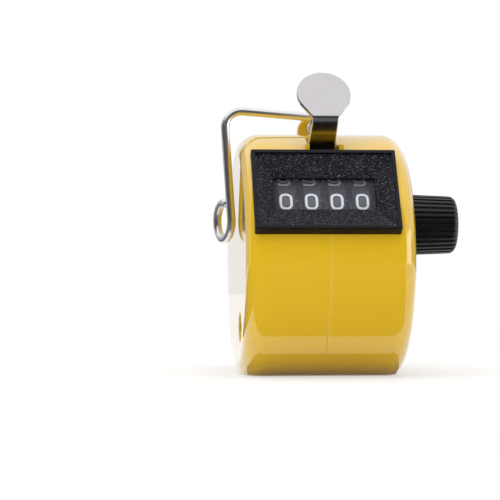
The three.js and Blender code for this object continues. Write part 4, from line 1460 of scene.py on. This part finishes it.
@dataclass
class ThumbLever:
    """The pressed lever: its strip and disc, the hub it turns on, the pawl's arm and the tail.

    fold_cuts are where the close cuts at the fold start and end, counted from the fold's own start,
    and their pitch.
    """

    size: LeverSize
    bend_radii: tuple[float, ...] = (3.0, 3.0, 0.9)
    strip_pitch: float = 1.0
    fold_cuts: tuple[float, float, float] = (-0.4, 2.4, 0.14)
    disc_margin: float = 0.6
    disc_pitch: float = 0.7
    disc_steps: int = 96
    flare: float = 0.42
    flare_length: float = 8.0
    satin_lead: float = 0.35
    edge_round: float = 0.24
    dish: float = 0.12
    hub_radius: float = 2.6
    pin_hole: float = 1.5
    pin_reach: float = 20.0
    hub_ends: Point = (-13.0, 13.3)
    arm_ends: Point = (12.1, 13.3)
    pawl_pin: Point = (-9.483, 44.382)
    pawl_eye: float = 1.9
    pawl_pin_hole: float = 1.0
    pawl_pin_ends: Point = (10.0, 15.0)
    pawl_pin_steps: int = 32
    tail_length: float = 6.4
    tail_width: float = 4.4

    def outline(self, reach: float) -> list[Point]:
        """Gives the flat blank's outline, across it and along it.

        The disc's flanks run from the fold as tangents, and the strip flares to the left below it.

        Args:
            reach: How far along the blank the fold lies.

        Returns:
            The points.
        """
        size = self.size
        half = size.width / 2
        corner = math.hypot(half, size.disc_distance)
        flank = math.degrees(math.acos(size.disc_radius / corner)
                             - math.atan2(size.disc_distance, half))
        disc = arc(size.disc_radius, flank, 180 - flank, (0, reach + size.disc_distance),
                   self.disc_steps)
        flared = (-half - self.flare, reach - self.flare_length)
        return [(half, 0), (half, reach), *disc, (-half, reach), flared, (-half, 0)]

    def blade(self) -> Mesh:
        """Makes the strip and the disc: a flat blank with rounded edges, cut in a grid and bent.

        Returns:
            The shape, with the disc's upper face at material index 1.
        """
        size = self.size
        tip = polar(size.disc_distance + size.disc_radius, size.disc_angle, size.fold)
        line = BentLine((size.pivot, size.knee, size.slot_point, size.fold, tip), self.bend_radii)
        fold = [start for start, _, _, curve in line.parts if curve][-1]
        corner = line.length - size.disc_distance - size.disc_radius
        half = size.thickness / 2
        blank = bmesh.new()
        face = blank.faces.new([blank.verts.new((u, v, -half)) for u, v in self.outline(corner)])
        thickened(blank, [face], (0, 0, size.thickness))
        rims = [edge for edge in folded_edges(blank, above=60)
                if abs(edge.verts[0].co.z - edge.verts[1].co.z) < WELD]
        rounded(blank, rims, self.edge_round)
        before, behind, pitch = self.fold_cuts
        sliced(blank, 1, self.strip_pitch / 2, line.length, self.strip_pitch)
        sliced(blank, 1, fold + before, fold + behind, pitch)
        sliced(blank, 0, self.disc_margin - size.disc_radius, size.disc_radius, self.disc_pitch)
        middle = corner + size.disc_distance
        for face in blank.faces:
            centre = face.calc_center_median()
            on_disc = centre.y > corner + self.satin_lead
            face.material_index = int(on_disc and centre.z > half - self.edge_round / 2)

        def fold_up(place: Vector) -> Vector:
            """Takes a place of the flat blank to the bent one."""
            out = math.hypot(place.x, place.y - middle) / size.disc_radius
            sunk = self.dish * max(0.0, 1 - out ** 2)
            (y, z), heading = line.at(place.y)
            rise = sunk - place.z
            return Vector((size.centre_x + place.x, y - rise * math.sin(heading),
                           z + rise * math.cos(heading)))

        return bent(blank, fold_up)

    def works(self) -> Mesh:
        """Makes the inner end: hub, arm and tail, bored for the pins.

        Returns:
            The whole lever, with its blade.
        """
        size, middle = self.size, self.size.centre_x
        (y, z), half, rise = size.pivot, self.tail_width / 2, size.thickness / 2
        body = bar(self.hub_radius, *self.hub_ends, size.pivot)
        arm = hull([(size.pivot, self.hub_radius), (self.pawl_pin, self.pawl_eye)])
        tail = block((middle - half, y, z - rise), (middle + half, y + self.tail_length, z + rise))
        for part in (plate(arm, *self.arm_ends), tail, self.blade()):
            body = carved(body, part, Cut.ADD)
        body = carved(body, bar(self.pin_hole, -self.pin_reach, self.pin_reach, size.pivot),
                      Cut.REMOVE)
        bore = bar(self.pawl_pin_hole, *self.pawl_pin_ends, self.pawl_pin, self.pawl_pin_steps)
        return carved(body, bore, Cut.REMOVE)

    def build(self) -> Piece:
        """Makes the lever's piece."""
        return finished("thumb_lever_pressing", self.works(), LEVER_CHROME, "lever", ["thumb_lever"],
                        crease=30.0, extra=[DISC_SATIN])


def hull(circles: Sequence[tuple[Point, float]], steps: int = 36) -> list[Point]:
    """Gives the convex outline round some circles.

    Args:
        circles: Their centres and radii.
        steps: The points on each circle.

    Returns:
        The outline, anticlockwise.
    """
    cloud = sorted(point for centre, radius in circles
                   for point in arc(radius, 0, 360 - 360 / steps, centre, steps - 1))

    def turn(o: Point, a: Point, b: Point) -> float:
        """Tells which way three points turn."""
        return (a[0] - o[0]) * (b[1] - o[1]) - (a[1] - o[1]) * (b[0] - o[0])

    def chain(points: Iterable[Point]) -> list[Point]:
        """Gives the half of the outline on one side."""
        done: list[Point] = []
        for point in points:
            while len(done) > 1 and turn(done[-2], done[-1], point) <= WELD:
                done.pop()
            done.append(point)
        return done[:-1]

    return chain(cloud) + chain(reversed(cloud))


@dataclass
class ResetKnob:
    """The ribbed reset knob on the right and the bush that its shaft runs in.

    foot lists the first rings: the place, how far under the knob's radius, and how deep the grooves
    are.
    """

    axis: Point
    base_x: float = 19.6
    radius: float = 6.95
    tip_radius: float = 6.6
    length: float = 10.6
    end_round: float = 1.6
    foot: tuple[tuple[float, float, float], ...] = ((0.0, 0.45, 0.3), (0.3, 0.02, 1.0))
    foot_end: float = 0.6
    body_steps: int = 4
    round_steps: int = 6
    ribs: int = 32
    rib_height: float = 0.42
    rib_slope: float = 0.35
    steps_per_rib: int = 10
    bore: float = 1.6
    bore_depth: float = 7.3
    dimple_radius: float = 3.9
    dimple_depth: float = 0.35
    dimple_slope: float = 0.35
    dimple_middle: float = 1.0
    bush_radius: float = 3.0
    bush_bore: float = 1.8
    bush_flange: float = 4.3
    bush_flange_width: float = 1.0
    bush_x: float = 17.3
    bush_end: float = 19.2
    bush_chamfer: float = 0.15
    bush_steps: int = 64

    def section(self, x: float, radius: float, ribbed: float) -> list[Vector]:
        """Gives one ring of the knob.

        Args:
            x: Its place along the knob.
            radius: Its radius over the ribs.
            ribbed: How deep the grooves are, from 0 to 1.

        Returns:
            The ring's points.
        """
        count = self.ribs * self.steps_per_rib
        points = []
        for k in range(count):
            phase = abs((k / self.steps_per_rib) % 1 - 0.5) * 2
            groove = min(1.0, max(0.0, (phase - self.rib_slope) / self.rib_slope))
            smooth = groove * groove * (3 - 2 * groove)
            reach = radius - self.rib_height * ribbed * smooth
            y, z = polar(reach, 360 * k / count)
            points.append(Vector((self.base_x + x, self.axis[0] + y, self.axis[1] + z)))
        return points

    def knob(self) -> Mesh:
        """Makes the knob: rings that are bridged, a dished end and a bore for the shaft.

        Returns:
            The closed body, in place.
        """
        start, end, taper = self.foot_end, self.length - self.end_round, self.tip_radius - self.radius
        rows = [(x, self.radius - under, ribbed) for x, under, ribbed in self.foot]
        rows += [(start + (end - start) * k / self.body_steps,
                  self.radius + taper * k / self.body_steps, 1.0) for k in range(self.body_steps + 1)]
        for share in (k / self.round_steps for k in range(1, self.round_steps + 1)):
            x, r = polar(self.end_round, 90 - 90 * share)
            rows.append((end + x, self.tip_radius - self.end_round + r, 1 - share ** 3))
        floor = self.length - self.dimple_depth
        rows += [(self.length, self.dimple_radius, 0.0),
                 (floor, self.dimple_radius - self.dimple_slope, 0.0), (floor, self.dimple_middle, 0.0)]
        bore = bar(self.bore, self.base_x - OVERRUN, self.base_x + self.bore_depth, self.axis)
        return carved(skinned([self.section(*row) for row in rows]), bore, Cut.REMOVE)

    def bush(self) -> Mesh:
        """Makes the flanged bush in the right wall.

        Returns:
            The closed ring, in place.
        """
        start, end = self.bush_x - self.bush_flange_width, self.bush_end
        outline = [(start, self.bush_bore), (start, self.bush_flange), (self.bush_x, self.bush_flange),
                   (self.bush_x, self.bush_radius), (end - self.bush_chamfer, self.bush_radius),
                   (end, self.bush_radius - self.bush_chamfer), (end, self.bush_bore)]
        return shifted(spun(outline, self.bush_steps, closed=True), (0, *self.axis))

    def build(self) -> list[Piece]:
        """Makes the knob's and the bush's pieces."""
        return [finished("ribbed_reset_knob", self.knob(), KNOB_ABS, "reset", ["reset_knob"],
                         crease=38.0),
                finished("flanged_bush", self.bush(), BRASS, "case", ["knob_bush"])]


@dataclass
class Screw:
    """A pan-head case screw with a crossed drive, lying along X.

    crest is the part of a pitch over which the thread is full, and tip is the length of the point
    and the radius of its end.
    """

    under_head: float = -17.2
    head_radius: float = 2.7
    head_height: float = 1.7
    dome: float = 0.5
    dome_steps: int = 9
    shank_radius: float = 1.25
    root_radius: float = 0.95
    length: float = 22.0
    thread_pitch: float = 1.1
    thread_start: float = 3.0
    plain_length: float = 4.0
    crest: Point = (0.35, 0.65)
    tip: Point = (0.6, 0.4)
    drive_width: float = 0.7
    drive_length: float = 3.2
    drive_depth: float = 0.8
    turn_steps: int = 48

    def body(self) -> Mesh:
        """Makes the screw about the X axis.

        Returns:
            The closed body.
        """
        under, top = self.under_head, self.under_head - self.head_height
        crown = [(top + self.dome * (1 - x), self.head_radius * r)
                 for x, r in arc(1.0, 0, 90, (0.0, 0.0), self.dome_steps)]
        profile = [(top, 0), *crown[1:], (under, self.head_radius), (under, self.shank_radius)]
        for k in range(int((self.length - self.plain_length) / self.thread_pitch)):
            x = under + self.thread_start + k * self.thread_pitch
            profile += [(x, self.root_radius),
                        *[(x + share * self.thread_pitch, self.shank_radius) for share in self.crest]]
        end = under + self.length
        profile += [(end - self.tip[0], self.root_radius), (end, self.tip[1]), (end, 0)]
        screw = spun(profile, self.turn_steps)
        half, long = self.drive_width / 2, self.drive_length / 2
        for size in ((half, long), (long, half)):
            arm = block((top - OVERRUN, -size[0], -size[1]), (top + self.drive_depth, *size))
            screw = carved(screw, arm, Cut.REMOVE)
        return screw

    def build(self, places: dict[str, tuple[Side, Point]]) -> list[Piece]:
        """Makes one screw in each place.

        Args:
            places: The node that each stands for, the side that it enters and its (y, z) centre.

        Returns:
            The pieces.
        """
        pieces = []
        for node, (side, centre) in places.items():
            screw = self.body()
            if side is Side.RIGHT:
                turned(screw, Matrix.Rotation(math.pi, 4, "Z"))
            pieces.append(finished(f"pan_head_{node}", shifted(screw, (0, *centre)), SCREW_ZINC,
                                   "case", [node]))
        return pieces


@dataclass
class Bail:
    """The wire finger bail: hook, run over the hand, corner, leg and closed eye.

    end_rows are the rings that round the wire's ends: the place in wire radii from the last full
    ring, and the share of the wire's radius.
    """

    wire: float = 1.0
    seam_x: float = -0.6
    hole_z: float = 58.0
    tail_y: float = 10.6
    front_y: float = 2.9
    run_start_z: float = 60.3
    run_end_z: float = 62.0
    leg_top_x: float = -21.9
    leg_bottom: Point = (-20.5, -1.5)
    hook_round: float = 0.75
    corner_round: float = 4.0
    eye_radius: float = 4.3
    eye_z: float = 35.8
    eye_flare: float = 18.0
    eye_end: float = 117.0
    end_rows: tuple[Point, ...] = ((-1.0, 0.35), (-0.7, 0.75), (-0.3, 0.97))
    corner_steps: int = 14
    eye_steps: int = 72
    section_steps: int = 24

    def route(self) -> list[Vector]:
        """Gives the middle line of the wire, closely spaced.

        Returns:
            The points from the lug to the end of the eye.
        """
        bottom = Vector((*self.leg_bottom, self.eye_z))
        corners = [
            (Vector((self.seam_x, self.tail_y, self.hole_z)), 0.0),
            (Vector((self.seam_x, self.front_y, self.hole_z)), self.hook_round),
            (Vector((self.seam_x, self.front_y, self.run_start_z)), self.hook_round),
            (Vector((self.leg_top_x, self.front_y, self.run_end_z)), self.corner_round),
            (bottom, 0.0),
        ]
        points = [corners[0][0]]
        for (before, _), (at, radius), (after, _) in zip(corners, corners[1:], corners[2:]):
            back, on = (before - at).normalized(), (after - at).normalized()
            inside = back.angle(on)
            trim = radius / math.tan(inside / 2)
            middle = at + (back + on).normalized() * radius / math.sin(inside / 2)
            start = at + back * trim - middle
            axis = start.cross(at + on * trim - middle).normalized()
            turn = (math.pi - inside) / self.corner_steps
            points += [middle + Matrix.Rotation(turn * k, 3, axis) @ start
                       for k in range(self.corner_steps + 1)]
        flare = math.radians(self.eye_flare)
        sideways = Vector((-math.sin(flare), math.cos(flare), 0))
        centre = bottom + sideways * self.eye_radius
        for along, up in arc(self.eye_radius, 180, 360 + self.eye_end, (0.0, 0.0), self.eye_steps):
            points.append(centre + sideways * along + Vector((0, 0, up)))
        return points

    def body(self) -> Mesh:
        """Sweeps the wire's round section along its route, with rounded ends.

        Returns:
            The closed body.
        """
        points = self.route()
        first = (points[1] - points[0]).normalized()
        last = (points[-1] - points[-2]).normalized()
        across = first.orthogonal().normalized()
        ends = [(self.wire * (1 + along), share) for along, share in self.end_rows]
        rows = [*[(points[0] + first * inset, share) for inset, share in ends],
                *[(point, 1.0) for point in points[1:-1]],
                *[(points[-1] - last * inset, share) for inset, share in reversed(ends)]]
        sections = []
        for k, (place, share) in enumerate(rows):
            now = (rows[min(k + 1, len(rows) - 1)][0] - rows[max(k - 1, 0)][0]).normalized()
            across = (across - now * across.dot(now)).normalized()
            other = now.cross(across)
            circle = [polar(self.wire * share, 360 * n / self.section_steps)
                      for n in range(self.section_steps)]
            sections.append([place + across * u + other * v for u, v in circle])
        return skinned(sections)

    def build(self) -> Piece:
        """Makes the bail's piece."""
        return finished("wire_bail", self.body(), BAIL_CHROME, "bail", ["finger_bail"], crease=60.0)


@dataclass
class Studio:
    """The floor, the light and the camera at the photograph's viewpoint.

    A curtain is given by its first and last angle round the counter, its height and its colour, and
    a lamp by its name, its place, its side, how bright it is and whether glossy surfaces show it.
    """

    camera_place: tuple[float, float, float] = (-61.09, -479.0, 28.3)
    camera_yaw: float = 5.38
    camera_pitch: float = 0.077
    lens: float = 147.7
    sensor: float = 36.0
    clip_start: float = 10.0
    floor_size: float = 3000.0
    floor_colour: str = "#FAFAFA"
    floor_roughness: float = 0.8
    floor_glow: float = 0.5
    shadow_reach: Point = (70.0, 200.0)
    cloth_colour: str = "#6A6A6C"
    cloth_height: float = 0.2
    table_cloths: tuple[tuple[Point, ...], ...] = (
        ((-50, 300), (-50, -25.5), (30, -25.5), (719, -605), (719, -900), (-900, -900), (-900, 300)),
        # Painted shade: this cloth under the case's front stands in for the shaded floor there, as the lower front
        # mirrors it
        ((-19.5, -8), (-19.5, -16), (-17, -18.7), (17, -18.7), (19.5, -16), (19.5, -8)),
    )
    curtain_reach: float = 900.0
    curtains: tuple[tuple[float, float, float, str], ...] = (
        (-200, -165, 800, "#F1F1F2"), (-165, -110, 420, "#B4B4B6"), (-104, 57, 800, "#444446"),
        (89, 165, 150, "#8A8A8C"))
    curtain_steps: int = 48
    ambient: float = 0.66
    lamps: tuple[tuple[str, tuple[float, float, float], float, float, bool], ...] = (
        ("overhead_softbox", (-40, -140, 520), 500, 2.2, False),
        ("left_softbox", (-400, -320, 260), 300, 1.7, False),
        ("low_fill", (-60, -400, 20), 260, 0.8, False),
        ("right_softbox", (460, -120, 40), 240, 2.2, True))
    lamp_aim: tuple[float, float, float] = (0.0, 0.0, 30.0)

    def camera(self) -> None:
        """Makes the camera and puts it in use."""
        data = bpy.data.cameras.new("camera")
        data.lens = self.lens
        data.sensor_width = self.sensor
        data.clip_start = self.clip_start * MM
        piece = linked("camera", data)
        piece.location = Vector(self.camera_place) * MM
        piece.rotation_euler = (math.radians(90 + self.camera_pitch), 0, -math.radians(self.camera_yaw))
        bpy.context.scene.camera = piece

    def staged(self, name: str, bm: Mesh, material: bpy.types.Material) -> Piece:
        """Puts a piece round the object that isn't part of it.

        Args:
            name: Its name.
            bm: Its shape in millimetres. It is used up.
            material: Its material.

        Returns:
            The stage piece.
        """
        bmesh.ops.scale(bm, vec=(MM, MM, MM), verts=bm.verts)
        piece = as_object(name, bm)
        piece.data.materials.append(material)
        return piece

    def seen(self, tree: bpy.types.NodeTree) -> bpy.types.NodeSocket:
        """Gives 1 where a ray goes to the camera straight, by a gloss or through a clear piece.

        Args:
            tree: The node tree that asks.

        Returns:
            The share, 0 or 1.
        """
        rays = add_node(tree, "ShaderNodeLightPath").outputs
        share = rays["Is Camera Ray"]
        for name in ("Is Glossy Ray", "Is Transmission Ray"):
            share = add_node(tree, "ShaderNodeMath", links={0: share, 1: rays[name]},
                             operation="ADD", use_clamp=True).outputs[0]
        return share

    def floor(self) -> None:
        """Makes the pale floor, which turns to plain white away from the object."""
        material = bpy.data.materials.new("matt_white_paint")
        material.use_nodes = True
        tree = material.node_tree
        shader = tree.nodes["Principled BSDF"]
        shader.inputs["Base Color"].default_value = linear(self.floor_colour)
        shader.inputs["Roughness"].default_value = self.floor_roughness
        place = add_node(tree, "ShaderNodeTexCoord").outputs["Object"]
        distance = add_node(tree, "ShaderNodeVectorMath", links={0: place}, operation="LENGTH")
        fade = add_node(tree, "ShaderNodeMapRange",
                        {"From Min": self.shadow_reach[0] * MM, "From Max": self.shadow_reach[1] * MM,
                         "To Min": self.floor_glow, "To Max": 1.0},
                        {"Value": distance.outputs["Value"]}, interpolation_type="SMOOTHSTEP")
        share = add_node(tree, "ShaderNodeMath", links={0: fade.outputs["Result"],
                                                        1: self.seen(tree)}, operation="MULTIPLY")
        glow = add_node(tree, "ShaderNodeEmission", {"Color": linear(WHITE), "Strength": 1.0})
        mix = add_node(tree, "ShaderNodeMixShader",
                       links={0: share.outputs[0], 1: shader.outputs[0], 2: glow.outputs[0]})
        tree.links.new(mix.outputs[0], tree.nodes["Material Output"].inputs["Surface"])
        bm = bmesh.new()
        bmesh.ops.create_grid(bm, x_segments=1, y_segments=1, size=self.floor_size / 2)
        self.staged("floor", bm, material)

    def cloth(self, name: str, bm: Mesh, colour: str) -> None:
        """Hangs or lays a piece of studio cloth that only a gloss shows.

        Args:
            name: Its name.
            bm: Its shape in millimetres. It is used up.
            colour: How bright it looks.
        """
        material = bpy.data.materials.new(f"{name}_cloth")
        tree = emptied(material)
        glow = add_node(tree, "ShaderNodeEmission", {"Color": linear(colour)})
        add_node(tree, "ShaderNodeOutputMaterial", links={"Surface": glow.outputs[0]})
        piece = self.staged(name, bm, material)
        for ray in ("camera", "diffuse", "transmission", "shadow"):
            setattr(piece, f"visible_{ray}", False)

    def flags(self) -> None:
        """Lays grey cloths on the table, one of them painted shade under the case's front, and hangs pale and dark
        curtains round the counter.
        """
        for k, outline in enumerate(self.table_cloths):
            bm = bmesh.new()
            bm.faces.new([bm.verts.new((x, y, self.cloth_height)) for x, y in outline])
            self.cloth(f"table_{k}", bm, self.cloth_colour)
        for k, (start, end, height, colour) in enumerate(self.curtains):
            bm = bmesh.new()
            verts = [bm.verts.new((0, -self.curtain_reach, z)) for z in (0, height)]
            edge = bm.edges.new(verts)
            bmesh.ops.rotate(bm, cent=(0, 0, 0), verts=verts,
                             matrix=Matrix.Rotation(math.radians(start), 3, "Z"))
            bmesh.ops.spin(bm, geom=[*verts, edge], cent=(0, 0, 0), axis=(0, 0, 1),
                           angle=math.radians(end - start), steps=self.curtain_steps)
            self.cloth(f"curtain_{k}", bm, colour)

    def world(self) -> None:
        """Makes the surroundings: white where seen or mirrored, soft grey as a light."""
        world = bpy.data.worlds.new("studio")
        tree = emptied(world)
        dim, white = [add_node(tree, "ShaderNodeBackground",
                               {"Color": linear(WHITE), "Strength": strength}).outputs[0]
                      for strength in (self.ambient, 1.0)]
        mix = add_node(tree, "ShaderNodeMixShader", links={0: self.seen(tree), 1: dim, 2: white})
        add_node(tree, "ShaderNodeOutputWorld", links={"Surface": mix.outputs[0]})
        bpy.context.scene.world = world

    def lamp(self, name: str, place: Sequence[float], size: float, radiance: float,
             glossy: bool) -> None:
        """Hangs a square soft lamp that faces the counter.

        Args:
            name: The lamp's name.
            place: Its place.
            size: Its side.
            radiance: How bright its face is, where 1 is white.
            glossy: Whether glossy surfaces show it.
        """
        data = bpy.data.lights.new(name, "AREA")
        data.size = size * MM
        data.energy = radiance * math.pi * (size * MM) ** 2
        piece = linked(name, data)
        piece.location = Vector(place) * MM
        aim = Vector(self.lamp_aim) - Vector(place)
        piece.rotation_euler = aim.to_track_quat("-Z", "Y").to_euler()
        piece.visible_glossy = glossy

    def build(self) -> None:
        """Makes the whole studio."""
        self.camera()
        self.floor()
        self.flags()
        self.world()
        for lamp in self.lamps:
            self.lamp(*lamp)


def dress_nodes() -> None:
    """Gives every node of the frame the finish of its slot."""
    for part in frame["record"]["subparts"]:
        node = frame["nodes"][part["node"]]
        node.data.materials.clear()
        node.data.materials.append(NODE_FINISHES[part["material_slot"]].material())


def joint_place(name: str) -> Point:
    """Gives the (y, z) of a joint's axis from the frame's record."""
    joint = next(item for item in frame["joints"] if item["name"] == name)
    return (joint["pos_m"][1] / MM, joint["pos_m"][2] / MM)


def main() -> None:
    """Builds the counter and its studio, piece by piece."""
    logging.basicConfig(level=logging.INFO, format="%(name)s %(message)s")
    bpy.context.scene.view_settings.view_transform = "Standard"
    dress_nodes()
    wheel_axis = joint_place("units_spin")
    drum = Drum()
    lever = LeverSize(pivot=joint_place("lever_press"))
    bezel = Bezel(drum)
    case = Case(drum, lever)
    case.build(bezel, wheel_axis)
    bezel.build()
    WheelRow(wheel_axis).build(Numerals())
    ThumbLever(lever, pawl_pin=joint_place("pawl_lift")).build()
    ResetKnob(wheel_axis).build()
    names = ("case_screw_lower_front", "case_screw_lower_rear", "case_screw_upper_rear")
    Screw().build(dict(zip(names, case.screws)))
    Bail().build()
    Studio().build()
    bpy.context.view_layer.update()


if __name__ == "__main__":
    main()
